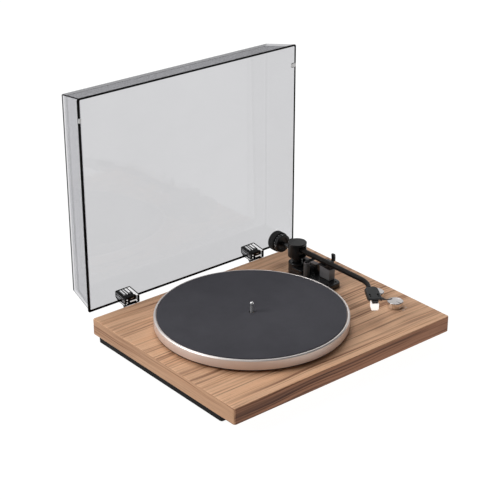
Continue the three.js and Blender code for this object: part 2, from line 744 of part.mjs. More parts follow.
function addHeadshell(head) {
  const { width, deck, top, wall } = SHELL;
  const back = shellBack;
  const front = shellFront;
  const half = width / 2;
  const side = new THREE.Shape();
  side.moveTo(back, top - 1.2);
  side.lineTo(back - 1.2, top);
  side.lineTo(front + 1, top);
  side.lineTo(front, top - 1);
  side.lineTo(front, top - 4.4);
  side.quadraticCurveTo(front + 8, top - 5.2, front + 12, top - 8.4);
  side.quadraticCurveTo(front + 18, top - 9.6, front + 24, top - 8.8);
  side.lineTo(back - 2, top - 7.4);
  side.lineTo(back, top - 5.6);
  const outer = profileAlongX(side, -half, half, 4);
  const neck = 6.4;
  const outline = [[neck, back + 1], [half - 0.6, back - 5], [half, back - 14], [half, front + 2],
    [half - 2, front - 1]];
  const mirrored = outline.map(([x, y]) => [-x, y]).reverse();
  const plan = raised(polygon([...mirrored, ...outline].reverse()), top - 12, top + 1);
  const channel = block(wall - half, half - wall, front - 1, back - 9, top - 14, top - deck);
  const slotRadius = 1.3;
  const slots = [-6.35, 6.35].map((x) => raised(
    roundedRectangle(x - 1.4, x + 1.4, front + 8, front + 20, slotRadius), top - 6, top + 1, 0, 3));
  const socket = rodY(TUBE.tip + GAP, back - 6, back + 1, -SHELL.shift, TUBE.z, 12);
  const shell = cut(common(outer, plan), channel, ...slots, socket);
  piece('headshell', shell, COLOUR.satinBlack, head, { roughness: 0.4 });
}

function addFingerLift(head) {
  const { width, top } = SHELL;
  const root = width / 2 + GAP;
  const tip = root + 16.4;
  const strip = new THREE.Shape();
  strip.moveTo(root, top - 3.4);
  strip.quadraticCurveTo(root + 9, top - 6, tip, top - 4.2);
  strip.lineTo(tip - 0.4, top - 3.2);
  strip.quadraticCurveTo(root + 9, top - 4.8, root, top - 2.2);
  const ribbon = new THREE.ExtrudeGeometry(strip, { depth: 14, bevelEnabled: false, curveSegments: 8 })
    .rotateX(Math.PI / 2).translate(0, shellFront + 15, 0);
  const plan = raised(polygon([
    [root - 1, shellFront + 2],
    [tip + 1, shellFront + 4],
    [tip + 1, shellFront + 7],
    [root + 8, shellFront + 9],
    [root - 1, shellFront + 14],
  ]), top - 10, top + 3);
  piece('finger_lift', common(ribbon, plan), COLOUR.satinBlack, head, { roughness: 0.35 });
}

// The magnet body hangs from the headshell by its flange, and its four pins point back to the
// arm wires. The white stylus assembly slides off it forwards.
function addCartridge(head) {
  const { half, flange, length, seam } = CARTRIDGE;
  const front = shellFront;
  const top = SHELL.top - SHELL.deck - GAP;
  const back = front + length;
  const ears = raised(roundedRectangle(-flange, flange, front + 6, front + 24, 1), top - 2, top, 0, 2);
  const nose = loft([
    ringAt(0.4 - half, half - 0.4, front + 0.6, back, 1, seam, 2),
    ringAt(-half, half, front - 0.6, back, 1, seam + 2.5, 2),
    ringAt(-half, half, front - 0.2, back, 1, top - 1, 2),
  ]);
  const pinSpacing = 2.5;
  const pins = [-pinSpacing, pinSpacing].flatMap((x) => [2, 4.6]
    .map((drop) => rodY(0.6, back - 1, back + 4, x, top - drop, 6)));
  piece('cartridge', join(nose, ears, ...pins), COLOUR.black, head, { roughness: 0.3 });
  const stylusRing = (inset, y0, y1, z) => ringAt(
    inset - STYLUS.half, STYLUS.half - inset, front + y0, front + y1, 1.2, z, 2);
  const body = loft([
    stylusRing(2, 1.4, STYLUS.length - 4, STYLUS.low),
    stylusRing(0.4, 0, STYLUS.length - 1, STYLUS.low + 3.6),
    stylusRing(0, -0.4, STYLUS.length, seam - GAP),
  ]);
  piece('stylus_assembly', body, COLOUR.white, head, { roughness: 0.4 });
}

function addCounterweight(place) {
  const { radius, back, length } = WEIGHT;
  const { half } = BEARING_BLOCK;
  const bore = STUB.radius + GAP;
  const stub = rodY(STUB.radius, half + GAP, STUB.length, 0, STUB.z, 16);
  const spigot = rodY(STUB_SPIGOT, 4, half + 1.5, 0, STUB.z, 12);
  piece('rear_stub', join(stub, spigot), COLOUR.steel, place, { roughness: 0.3, metalness: 1 });
  const front = back - length;
  const weight = turned([
    [bore, front],
    [radius - 0.6, front],
    [radius, front + 0.8],
    [radius, back - 1.6],
    [radius - 1.6, back],
    [bore + 2.4, back],
    [bore + 1.4, back - 1.4],
    [bore, back - 1.4],
  ], 24);
  const ringBack = front - GAP;
  const ringFront = ringBack - FORCE_RING.length;
  const ring = turned([
    [bore, ringFront + 1.2],
    [bore + 5, ringFront + 1.2],
    [bore + 5.6, ringFront],
    [FORCE_RING.radius - 0.8, ringFront],
    [FORCE_RING.radius, ringFront + 0.8],
    [FORCE_RING.radius, ringBack],
    [bore, ringBack],
  ], 24);
  const axis = groupAt(0, 0, STUB.z, place);
  const backwards = (solid) => solid.rotateX(-Math.PI / 2);
  const metal = { roughness: 0.4, metalness: 0.5 };
  piece('counterweight', backwards(weight), COLOUR.satinBlack, axis, metal);
  piece('tracking_force_ring', backwards(ring), COLOUR.satinBlack, axis, { roughness: 0.5 });
}

function addTonearm() {
  const place = groupAt(PIVOT.x, PIVOT.y, 0);
  addYoke(place);
  addPivotScrew('pivot_screw_right', 1, place);
  addPivotScrew('pivot_screw_left', -1, place);
  addBearingBlock(place);
  addArmTube(place);
  addCounterweight(place);
  const head = headshellGroup(place);
  addHeadshell(head);
  addFingerLift(head);
  addCartridge(head);
}

// ---------------------------------------------------------------- rear sockets
function addRearPanel() {
  const { left, right, bottom, top } = JACK;
  const face = PAN.back + 0.4;
  const plate = block(left, right, face - 2.4, face, bottom, top);
  const hole = (radius, x) => rodY(radius, face - 4, face + 2, x, SOCKET.z, 12);
  const { slide, z } = SOCKET;
  const slot = block(slide - 5, slide + 5, face - 4, face + 2, z - 2, z + 2);
  const panel = cut(
    plate,
    hole(3.2, SOCKET.left),
    hole(3.2, SOCKET.right),
    hole(1.6, SOCKET.ground),
    hole(4.5, SOCKET.power),
    slot,
  );
  piece('rear_panel', panel, COLOUR.black, player, { roughness: 0.6 });
  addPhonoSocket('phono_socket_left', SOCKET.left, COLOUR.white, face);
  addPhonoSocket('phono_socket_right', SOCKET.right, COLOUR.red, face);
  const post = join(
    rodY(1.3, face - 8, face + 6, SOCKET.ground, SOCKET.z, 10),
    rodY(3.4, face + 1.2, face + 5.4, SOCKET.ground, SOCKET.z, 12),
  );
  piece('ground_post', post, COLOUR.steel, player, { roughness: 0.3, metalness: 1 });
  const button = slide - 2;           // the slide switch rests at one end of its slot
  const slider = join(
    block(button - 2, button + 2, face - 3, face + 1.6, z - 1.6, z + 1.6),
    block(button - 4, button + 4, face - 4.6, face - 2.8, z - 2.6, z + 2.6),
  );
  piece('line_switch', slider, COLOUR.satinBlack, player, { roughness: 0.6 });
  const barrel = rodY(4.2, face - 11, face + 0.8, SOCKET.power, SOCKET.z, 14);
  const well = rodY(2.9, face - 9, face + 2, SOCKET.power, SOCKET.z, 12);
  const pin = rodY(0.9, face - 10, face, SOCKET.power, SOCKET.z, 8);
  piece('power_inlet', join(cut(barrel, well), pin), COLOUR.black, player, { roughness: 0.4 });
}

function addPhonoSocket(name, x, colour, face) {
  const barrel = rodY(2.9, face - 8, face + 6.8, x, SOCKET.z, 12);
  const flange = rodY(4.3, face + GAP, face + 2, x, SOCKET.z, 14);
  const bore = rodY(1.6, face - 4, face + 8, x, SOCKET.z, 8);
  piece(name, cut(join(barrel, flange), bore), colour, player, { roughness: 0.4 });
}

function addControlBoard() {
  const low = PAN.bottom + PAN.wall + PAN_RIB.height + 0.4;
  const face = low + 1.5;
  const board = block(50, 115, -100, -40, low, face + 0.1);
  const parts = [
    block(58, 68, -92, -80, face, face + 4),
    block(78, 92, -70, -58, face, face + 2.5),
    block(100, 108, -94, -86, face, face + 4.5),
    rod(3, face, face + 5, 12).translate(64, -56, 0),
    rod(3, face, face + 5, 12).translate(74, -48, 0),
  ];
  piece('control_board', join(board, ...parts), COLOUR.green, player, { roughness: 0.5 });
}

// ---------------------------------------------------------------- dust cover and hinges
// The cover is built closed, about the hinge axis, and then turned back a quarter turn.
const lidBack = PLINTH_BACK + LID_OVERHANG - HINGE_AXIS.y;
const lidRim = LID.rim - HINGE_AXIS.z;
const lidLean = LID.draft / LID.depth;

function addLid(cover) {
  const { width, length, depth, wall, corner } = LID;
  const front = lidBack - length;
  const half = width / 2;
  const section = (height, inset) => {
    const edge = lidLean * height + inset;
    const radius = Math.max(corner - inset, 0.6);
    return ringAt(-half + edge, half - edge, front + edge, lidBack - edge, radius, lidRim + height, 2);
  };
  const shoulder = [section(depth - 2, 0), section(depth - 0.6, 0.6), section(depth, 2)];
  const outer = loft([section(0, 0), ...shoulder]);
  const ceiling = depth - wall;
  const inner = loft([section(-1, wall), section(ceiling - 1.4, wall), section(ceiling, wall + 1.6)]);
  piece('dust_cover', cut(outer, inner), COLOUR.smoke, cover, { roughness: 0.1 });
  const { from, to, half: pad, thick } = BUMPER;
  ['cover_bumper_left', 'cover_bumper_right'].forEach((name, i) => {
    const x = (i === 0 ? -1 : 1) * (half - wall / 2);
    const outline = roundedRectangle(x - pad, x + pad, front + from, front + to, 1.2);
    const top = lidRim - GAP;
    piece(name, raised(outline, top - thick, top, 0, 2), COLOUR.white, cover, { roughness: 0.6 });
  });
}

// Fixed half: a folded steel bracket under the moving half, with two ears that carry the pin
// and a rear tab that the open cover rests on.
function addHingeBase(name, x) {
  const { width, knuckle, pin } = HINGE;
  const { sheet, play, low, drop, tab } = BRACKET;
  const { y, z } = HINGE_AXIS;
  const half = width / 2 + play;
  const outside = half + sheet;
  const front = PLINTH_BACK + GAP;
  const rear = y + 8.9;
  const plate = block(x - outside, x + outside, front, front + sheet, low - drop, low + 1);
  const floor = block(x - outside, x + outside, front, rear, low, low + sheet);
  const rearTab = block(x - tab, x + tab, rear - sheet, rear, low, z + 1.8);
  const ear = new THREE.Shape();
  ear.moveTo(front, low);
  ear.lineTo(rear, low);
  ear.lineTo(y + knuckle, z - 1);
  ear.absarc(y, z, knuckle, 0, Math.PI);
  ear.lineTo(front + 3, low + 5);
  ear.lineTo(front, low + 4);
  const ears = [x - outside, x + half].map((side) => profileAlongX(ear, side, side + sheet, 4));
  const bore = rodX(pin + GAP, x - width, x + width, y, z, 14);
  const bracket = cut(join(plate, floor, rearTab, ...ears), bore);
  piece(name, bracket, COLOUR.satinBlack, player, { roughness: 0.4, metalness: 0.6 });
}

function addHingePin(name, x) {
  const { width, pin } = HINGE;
  const { y, z } = HINGE_AXIS;
  const end = width / 2 + BRACKET.play + BRACKET.sheet + 0.4;
  const shank = rodX(pin, x - end - 1, x + end + 0.6, y, z, 14);
  const head = rodX(pin + 1.5, x - end - 1.6, x - end, y, z, 14);
  piece(name, join(shank, head), COLOUR.steel, player, { roughness: 0.3, metalness: 1 });
}

// Moving half: a clear moulding that turns on the pin. Its round nose passes behind the plinth,
// and its two straps grip the cover's rear wall, whose draft they follow.
function addHingeClip(name, x, cover) {
  const { width, nose, knuckle, pin, reach } = HINGE;
  const outside = lidBack + GAP;
  const inside = lidBack - LID.wall - GAP;
  const strap = 2.6;
  const lean = lidLean * (reach - lidRim);
  const profile = new THREE.Shape();
  profile.moveTo(-nose, 0);
  profile.absarc(0, 0, nose, Math.PI, Math.PI * 1.5);
  profile.lineTo(0, -knuckle);
  profile.absarc(0, 0, knuckle, -Math.PI / 2, Math.PI / 2);
  profile.lineTo(outside + strap, knuckle + 2);
  profile.lineTo(outside + strap - lean, reach);
  profile.lineTo(outside - lean, reach);
  profile.lineTo(outside, lidRim - GAP);
  profile.lineTo(inside, lidRim - GAP);
  profile.lineTo(inside - lean, reach);
  profile.lineTo(-nose - lean, reach);
  profile.lineTo(-nose, lidRim);
  const body = profileAlongX(profile, x - width / 2, x + width / 2, 4);
  const pocket = new THREE.Shape();
  const skin = 1.4;
  pocket.moveTo(skin - nose, 0);
  pocket.absarc(0, 0, nose - skin, Math.PI, Math.PI * 1.5);
  pocket.lineTo(1, skin - nose);
  pocket.lineTo(1, -knuckle - 1);
  pocket.lineTo(0, -knuckle - 1);
  pocket.absarc(0, 0, knuckle + 1, Math.PI * 1.5, Math.PI, true);
  const pockets = [-8.2, 0, 8.2].map((dx) => profileAlongX(pocket, x + dx - 3.5, x + dx + 3.5, 4));
  const bore = rodX(pin + GAP, x - width, x + width, 0, 0, 14);
  piece(name, cut(body, ...pockets, bore), COLOUR.smoke, cover, { roughness: 0.15 });
}

function addCover() {
  const cover = groupAt(0, HINGE_AXIS.y, HINGE_AXIS.z);
  cover.rotation.x = -Math.PI / 2;
  addLid(cover);
  ['left', 'right'].forEach((side, i) => {
    addHingeBase(`hinge_base_${side}`, HINGE.x[i]);
    addHingePin(`hinge_pin_${side}`, HINGE.x[i]);
    addHingeClip(`hinge_clip_${side}`, HINGE.x[i], cover);
  });
}

// ---------------------------------------------------------------- the whole player
addPlinth();
addBasePan();
addFeet();
addBearing();
addPlatter();
addMotor();
addBelt();
addKnob('speed', KNOB.speedY);
addKnob('power', KNOB.powerY);
addArmBase();
addArmPillar();
addAntiSkateDial();
addCueLift();
addCueLever();
addArmRest();
addArmClip();
addTonearm();
addRearPanel();
addControlBoard();
addCover();

const coverBack = HINGE_AXIS.y + lidRim + LID.depth;
player.position.set(0, (PLINTH.depth / 2 - coverBack) / 2, FOOT.height - PAN.bottom);

const whole = new THREE.Group();
whole.add(player);
export default whole;
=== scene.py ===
# Looks of the belt-drive record player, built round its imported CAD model.
# Shapes are written in millimetres from the centre of the plinth's top face, as the CAD is:
# +X is the tonearm side, -Y the front, +Z up. mesh_piece() turns them into metres.
import json
from math import acos, cos, hypot, pi, radians, sin, tan

import bmesh
import bpy
from mathutils import Matrix, Vector


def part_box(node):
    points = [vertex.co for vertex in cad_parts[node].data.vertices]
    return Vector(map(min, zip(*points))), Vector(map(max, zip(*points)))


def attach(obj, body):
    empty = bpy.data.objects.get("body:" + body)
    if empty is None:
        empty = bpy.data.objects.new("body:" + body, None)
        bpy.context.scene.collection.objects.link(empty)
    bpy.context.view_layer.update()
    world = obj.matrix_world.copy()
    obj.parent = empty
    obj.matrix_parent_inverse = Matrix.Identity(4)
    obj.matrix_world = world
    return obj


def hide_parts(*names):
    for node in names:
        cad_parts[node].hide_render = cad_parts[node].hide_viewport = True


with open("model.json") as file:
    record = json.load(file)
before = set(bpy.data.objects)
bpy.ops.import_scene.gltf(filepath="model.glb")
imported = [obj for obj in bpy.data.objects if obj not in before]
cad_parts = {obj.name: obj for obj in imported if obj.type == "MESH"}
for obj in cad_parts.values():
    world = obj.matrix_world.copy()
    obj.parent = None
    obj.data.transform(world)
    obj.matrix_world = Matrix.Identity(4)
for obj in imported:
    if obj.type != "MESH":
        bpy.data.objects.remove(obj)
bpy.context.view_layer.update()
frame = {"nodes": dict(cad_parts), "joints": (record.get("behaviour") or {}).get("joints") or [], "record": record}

MM = 0.001
TINY = 1e-6
STRAIGHT = pi / 2 - 1e-3        # half the angle of a corner that is no corner
PLINTH_LOW, PLINTH_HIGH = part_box("plinth")
ORIGIN = Vector(((PLINTH_LOW.x + PLINTH_HIGH.x) / 2, (PLINTH_LOW.y + PLINTH_HIGH.y) / 2, PLINTH_HIGH.z))
BODY_OF = {node: body for body, nodes in frame["record"]["behaviour"]["bodies"].items() for node in nodes}


# ---- places in the CAD model, in millimetres from ORIGIN
def box_mm(node):
    """A node's lowest and highest corners."""
    low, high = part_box(node)
    return (low - ORIGIN) / MM, (high - ORIGIN) / MM


def centre_mm(node):
    low, high = box_mm(node)
    return (low + high) / 2


def round_mm(node):
    """The axis (at height 0), radius, bottom and top of a node that is round about Z."""
    low, high = box_mm(node)
    middle = (low + high) / 2
    return Vector((middle.x, middle.y, 0)), (high.x - low.x) / 2, low.z, high.z


def joint_mm(name):
    """A point on a joint's axis."""
    return (Vector(next(joint["pos_m"] for joint in frame["joints"] if joint["name"] == name)) - ORIGIN) / MM


# ---- outlines
def fillet(points, steps=5, closed=True):
    """Rounds the corners of an outline. A point is (x, y) or (x, y, radius of its corner)."""
    out = []
    count = len(points)
    for i, (x, y, *given) in enumerate(points):
        here = Vector((x, y))
        radius = given[0] if given else 0
        to_last = Vector(points[i - 1][:2]) - here
        to_next = Vector(points[(i + 1) % count][:2]) - here
        room = 0.499 * min(to_last.length, to_next.length)     # just under half, so that roundings never meet
        to_last.normalize()
        to_next.normalize()
        half = acos(max(-1, min(1, to_last.dot(to_next)))) / 2
        if radius <= 0 or half > STRAIGHT or not (closed or 0 < i < count - 1):
            out.append(here)
            continue
        reach = min(radius / tan(half), room)
        radius = reach * tan(half)
        middle = here + (to_last + to_next).normalized() * (radius / sin(half))
        start = here + to_last * reach - middle
        end = here + to_next * reach - middle
        sweep = start.angle_signed(end)
        for k in range(steps + 1):
            angle = -sweep * k / steps
            out.append(middle + Vector((start.x * cos(angle) - start.y * sin(angle),
                                        start.x * sin(angle) + start.y * cos(angle))))
    return out


def rect(x0, x1, y0, y1, radius, steps=6):
    return fillet([(x0, y0, radius), (x1, y0, radius), (x1, y1, radius), (x0, y1, radius)], steps)


def arc(radius, cx, cy, start, end, steps):
    """Points on a circle between two angles in degrees."""
    return [Vector((cx + radius * cos(a), cy + radius * sin(a)))
            for a in (radians(start + (end - start) * i / steps) for i in range(steps + 1))]


def inset(outline, distance):
    """The outline moved inwards by a distance. It runs counter-clockwise."""
    out = []
    for i, here in enumerate(outline):
        before = (here - outline[i - 1]).normalized()
        after = (outline[(i + 1) % len(outline)] - here).normalized()
        normal = Vector((-before.y - after.y, before.x + after.x))
        if normal.length >= 1e-9:
            normal.normalize()
            lean = max(0.35, normal.dot(Vector((-before.y, before.x))))     # a limit for sharp corners
            here = here + normal * (distance / lean)
        out.append(here)
    return out


# ---- meshes
def new_object(name, data):
    made = bpy.data.objects.new(name, data)
    bpy.context.scene.collection.objects.link(made)
    return made


def shade(mesh, sharp):
    """Smooth shading with hard edges where faces meet at more than an angle in degrees."""
    mesh.polygons.foreach_set("use_smooth", [True] * len(mesh.polygons))
    mesh.set_sharp_from_angle(angle=radians(sharp))


def mesh_piece(name, verts, faces, at, sharp):
    mesh = bpy.data.meshes.new(name)
    mesh.from_pydata([Vector(v) * MM for v in verts], [], faces)
    mesh.validate()
    shape = bmesh.new()
    shape.from_mesh(mesh)
    bmesh.ops.remove_doubles(shape, verts=shape.verts, dist=1e-7)
    bmesh.ops.recalc_face_normals(shape, faces=shape.faces)
    shape.to_mesh(mesh)
    shape.free()
    shade(mesh, sharp)
    piece = new_object(name, mesh)
    piece.location = ORIGIN + Vector(at) * MM
    return piece


def lathe(name, corners, steps, at, segments, radius_of=None, sharp=32):
    """Turns (radius, height[, rounding]) corners about Z. radius_of(radius, height, angle) may shape them.
    A profile that starts and ends on the axis is open, and any other runs back to its start."""
    loop = corners[0][0] > TINY or corners[-1][0] > TINY
    verts, rings = [], []
    for r, z in fillet(corners, steps, loop):
        if r <= TINY:
            rings.append([len(verts)] * segments)
            verts.append((0, 0, z))
            continue
        rings.append(list(range(len(verts), len(verts) + segments)))
        for i in range(segments):
            angle = 2 * pi * i / segments
            here = radius_of(r, z, angle) if radius_of else r
            verts.append((here * cos(angle), here * sin(angle), z))
    faces = []
    for low, high in zip(rings, rings[1:] + rings[:1] if loop else rings[1:]):
        for i in range(segments):
            j = (i + 1) % segments
            around = [low[i], low[j], high[j], high[i]]
            face = [c for k, c in enumerate(around) if c != around[k - 1]]
            if len(face) > 2:
                faces.append(face)
    return mesh_piece(name, verts, faces, at, sharp)


def loft(name, rings, at=(0, 0, 0), sharp=32):
    """A skin through rings of equally many points, closed by a face at each end."""
    count = len(rings[0])
    last = (len(rings) - 1) * count
    faces = [[level + i, level + (i + 1) % count, level + (i + 1) % count + count, level + i + count]
             for level in range(0, last, count) for i in range(count)]
    faces += [list(range(count))[::-1], [last + i for i in range(count)]]
    return mesh_piece(name, [tuple(point) for ring in rings for point in ring], faces, at, sharp)


def prism(name, outline, z0, z1, edge, at=(0, 0, 0), steps=3, sharp=32, low_edge=None):
    """An outline raised from z0 to z1 with rounded rims."""
    low_edge = edge if low_edge is None else low_edge
    turns = [pi / 2 * k / steps for k in range(steps + 1)]
    rings = [[(p.x, p.y, z0 + low_edge * (1 - cos(turn))) for p in inset(outline, low_edge * (1 - sin(turn)))]
             for turn in (turns if low_edge else turns[-1:])]
    rings += [[(p.x, p.y, z1 - edge * (1 - sin(turn))) for p in inset(outline, edge * (1 - cos(turn)))]
              for turn in (turns if edge else turns[:1])]
    return loft(name, rings, at, sharp)


def sweep(name, path, radii, at):
    """A round tube through points that lie in one horizontal plane."""
    rings = []
    sides = 40
    for i, here in enumerate(path):
        along = (path[min(i + 1, len(path) - 1)] - path[max(i - 1, 0)]).normalized()
        across = Vector((-along.y, along.x, 0)).normalized()
        up = across.cross(along) * -1
        rings.append([here + radii[i] * (across * cos(a) + up * sin(a))
                      for a in (2 * pi * k / sides for k in range(sides))])
    return loft(name, rings, at)


def spin(degrees, axis):
    return Matrix.Rotation(radians(degrees), 4, axis)


def turned(piece, matrix):
    """Turns a piece's own mesh about its origin."""
    piece.data.transform(matrix)
    piece.data.update()
    return piece


def moved(piece, x, y, z):
    return turned(piece, Matrix.Translation(Vector((x, y, z)) * MM))


def joined(name, *pieces):
    """One object from several, at the first one's origin."""
    home = pieces[0].matrix_basis.copy()
    shape = bmesh.new()
    materials = []
    for piece in pieces:
        extra = piece.data.copy()
        extra.transform(home.inverted() @ piece.matrix_basis)
        places = []
        for material in piece.data.materials:
            if material not in materials:
                materials.append(material)
            places.append(materials.index(material))
        for polygon in extra.polygons:
            polygon.material_index = places[min(polygon.material_index, len(places) - 1)]
        shape.from_mesh(extra)
        bpy.data.meshes.remove(extra)
        bpy.data.objects.remove(piece)
    mesh = bpy.data.meshes.new(name)
    shape.to_mesh(mesh)
    shape.free()
    for material in materials:
        mesh.materials.append(material)
    out = new_object(name, mesh)
    out.matrix_basis = home
    return out


def mesh_of(piece):
    """A piece's mesh as its modifiers or its text make it."""
    bpy.context.view_layer.update()
    return bpy.data.meshes.new_from_object(piece.evaluated_get(bpy.context.evaluated_depsgraph_get()))


def carved(piece, *tools, sharp=32):
    """The piece with each tool's volume taken away."""
    for tool in tools:
        cut = piece.modifiers.new("cut", "BOOLEAN")
        cut.operation = "DIFFERENCE"
        cut.solver = "EXACT"
        cut.object = tool
    mesh = mesh_of(piece)
    piece.modifiers.clear()
    piece.data = mesh
    shade(mesh, sharp)
    for tool in tools:
        bpy.data.objects.remove(tool)
    return piece


ALONG_X = spin(90, "Y")        # local Z becomes +X
ALONG_Y = spin(-90, "X")       # local Z becomes +Y
TO_FRONT = spin(90, "X")       # local Z becomes -Y, and an (x, y) outline becomes (x, z)
# an (x, y) outline becomes (x, z) and Z becomes +Y, or (x, y) becomes (y, z) and Z becomes +X
ALONG_Y_UP = Matrix(((1, 0, 0, 0), (0, 0, 1, 0), (0, 1, 0, 0), (0, 0, 0, 1)))
UPRIGHT = Matrix(((0, 0, 1, 0), (1, 0, 0, 0), (0, 1, 0, 0), (0, 0, 0, 1)))


# ---- materials
MATERIALS = {}
WHITE = (1, 1, 1)


class Graph:
    """A node tree that is put together a node at a time."""

    def __init__(self, tree):
        self.tree = tree

    def put(self, node, **inputs):
        """Sets or links inputs, each named by its label or, as _0, by its number. Colours need no alpha."""
        for key, value in inputs.items():
            socket = node.inputs[int(key[1:]) if key[0] == "_" else key.replace("_", " ")]
            if isinstance(value, bpy.types.NodeSocket):
                self.tree.links.new(value, socket)
            else:
                socket.default_value = (*value, 1) if socket.type == "RGBA" else value
        return node

    def node(self, kind, settings=None, **inputs):
        made = self.tree.nodes.new("ShaderNode" + kind)
        for key, value in (settings or {}).items():
            setattr(made, key, value)
        return self.put(made, **inputs)

    def place(self):
        """Object coordinates, in metres."""
        return self.node("TexCoord").outputs["Object"]

    def noise(self, scale, where, detail=2, roughness=0.5, distortion=0):
        return self.node("TexNoise", Vector=where, Scale=scale, Detail=detail, Roughness=roughness,
                         Distortion=distortion).outputs["Fac"]

    def math(self, operation, *values):
        return self.put(self.node("Math", {"operation": operation}),
                        **{f"_{i}": value for i, value in enumerate(values)}).outputs[0]

    def times(self, a, b):
        return self.math("MULTIPLY", a, b)

    def plus(self, a, b):
        return self.math("ADD", a, b)

    def ramp(self, source, *stops):
        """Colours by value: each stop is (place, (r, g, b))."""
        ramp = self.node("ValToRGB", Fac=source)
        elements = ramp.color_ramp.elements
        while len(elements) < len(stops):
            elements.new(0.5)
        for element, (place, colour) in zip(elements, stops):
            element.position = place
            element.color = (*colour, 1)
        return ramp.outputs["Color"]

    def spread(self, source, low, high, start, end):
        """Maps start..end to low..high."""
        return self.node("MapRange", Value=source, From_Min=start, From_Max=end,
                         To_Min=low, To_Max=high).outputs[0]

    def blend(self, fac, a, b, mode="MULTIPLY"):
        return self.node("Mix", {"data_type": "RGBA", "blend_type": mode}, _0=fac, _6=a, _7=b).outputs[2]


class Look(Graph):
    """A material whose Principled shader takes its inputs by name."""

    def __init__(self, name, colour, roughness, **values):
        material = MATERIALS[name] = bpy.data.materials.new(name)
        material.use_nodes = True
        material.diffuse_color = (*colour, 1)
        super().__init__(material.node_tree)
        self.set(Base_Color=colour, Roughness=roughness, **values)

    def set(self, **inputs):
        self.put(self.tree.nodes["Principled BSDF"], **inputs)

    def bump(self, height, strength, distance):
        self.set(Normal=self.node("Bump", Height=height, Strength=strength, Distance=distance).outputs[0])


def scaled(colour, factor):
    return tuple(channel * factor for channel in colour)


def moulded(name, colour, roughness, grain=2600, depth=0.25, specular=0.5, **values):
    """Moulded plastic: a fine spark-eroded grain, and a faint unevenness in tone and gloss."""
    look = Look(name, colour, roughness, Specular_IOR_Level=specular, **values)
    where = look.place()
    broad = look.noise(18, where, 3)
    fine = look.noise(grain, where)
    look.set(Base_Color=look.ramp(broad, (0.25, scaled(colour, 0.86)), (0.75, scaled(colour, 1.12))),
             Roughness=look.spread(look.times(broad, fine), roughness * 0.8, roughness * 1.25, 0.1, 0.45))
    look.bump(fine, depth, 0.00006)


def machined(name, colour, roughness, lines=9000, depth=0.12, metallic=1):
    """Turned metal: tool marks that run round the piece's own axis."""
    look = Look(name, colour, roughness, Metallic=metallic)
    where = look.place()
    x, y, z = look.node("SeparateXYZ", Vector=where).outputs
    radius = look.math("SQRT", look.plus(look.times(x, x), look.times(y, y)))
    marks = look.noise(lines, look.node("CombineXYZ", X=radius, Y=z).outputs[0], 2, 0.6)
    look.set(Base_Color=look.ramp(marks, (0.3, scaled(colour, 0.9)), (0.7, colour)),
             Roughness=look.spread(look.plus(marks, look.noise(30, where)), roughness * 0.75, roughness * 1.3,
                                   0.6, 1.4))
    look.bump(marks, depth, 0.00002)


def veneer(name, along, light, mid, dark, shade_of=1, seed=0):
    """Walnut veneer whose grain runs along X or Y."""
    look = Look(name, mid, 0.5, Specular_IOR_Level=0.25)
    # shade_of dims every tone, which makes a darker copy of the veneer as painted shade
    light, mid, dark = (scaled(c, shade_of) for c in (light, mid, dark))
    x, y, z = look.node("SeparateXYZ", Vector=look.place()).outputs
    run, across, third, swing = (x, y, z, 0.016) if along == "X" else (y, z, x, 0.022)
    across = look.plus(across, third)

    def grain(stretch, side, pitch, offset, detail, roughness):
        """Noise drawn out along the grain."""
        at = look.node("CombineXYZ", X=look.times(run, stretch), Y=look.times(side, pitch), Z=seed + offset)
        return look.noise(1, at.outputs[0], detail, roughness)

    flow = grain(5.5, across, 9, 0, 1.5, 0.5)
    wavy = look.plus(across, look.times(look.math("SUBTRACT", flow, 0.5), swing))

    def streaks(stretch, pitch, offset, detail):
        return grain(stretch, wavy, pitch, offset, detail, 0.55)

    bands = streaks(2, 55, 3.1, 3)
    stripes = streaks(3.5, 270, 7.7, 3)
    hairs = streaks(12, 900, 11.3, 2)
    pores = streaks(90, 2600, 17.9, 1)
    tone = look.plus(look.times(bands, 0.48), look.times(stripes, 0.52))
    colour = look.ramp(tone, (0.33, dark), (0.44, mid), (0.53, light), (0.68, scaled(light, 1.06)))
    for amount, source, *stops in (
            (0.8, stripes, (0.34, (0.5, 0.42, 0.37)), (0.42, WHITE)),
            (1, streaks(4, 80, 23, 1), (0.5, WHITE), (0.72, (1.02, 0.97, 0.93))),
            (0.7, hairs, (0.3, (0.66, 0.6, 0.56)), (0.46, WHITE), (0.65, (1.06, 1.06, 1.05))),
            (0.6, pores, (0.28, (0.55, 0.48, 0.42)), (0.36, WHITE))):
        colour = look.blend(amount, colour, look.ramp(source, *stops))
    look.set(Base_Color=colour, Roughness=look.spread(stripes, 0.56, 0.4, 0.3, 0.7))
    look.bump(look.plus(look.times(hairs, 0.5), look.spread(pores, 0, 0.5, 0.25, 0.36)), 0.35, 0.00008)


def felt(name):
    look = Look(name, (0.055, 0.054, 0.062), 1, Specular_IOR_Level=0.2, Sheen_Weight=0.25,
                Sheen_Roughness=0.6, Sheen_Tint=(0.5, 0.5, 0.56))
    where = look.place()
    fibres = look.noise(2400, where, 3, 0.7, 0.6)
    tone = look.plus(look.times(fibres, 0.7), look.times(look.noise(28, where, 3), 0.3))
    look.set(Base_Color=look.ramp(tone, (0.3, (0.032, 0.031, 0.037)), (0.7, (0.066, 0.065, 0.075))))
    look.bump(fibres, 0.7, 0.0002)


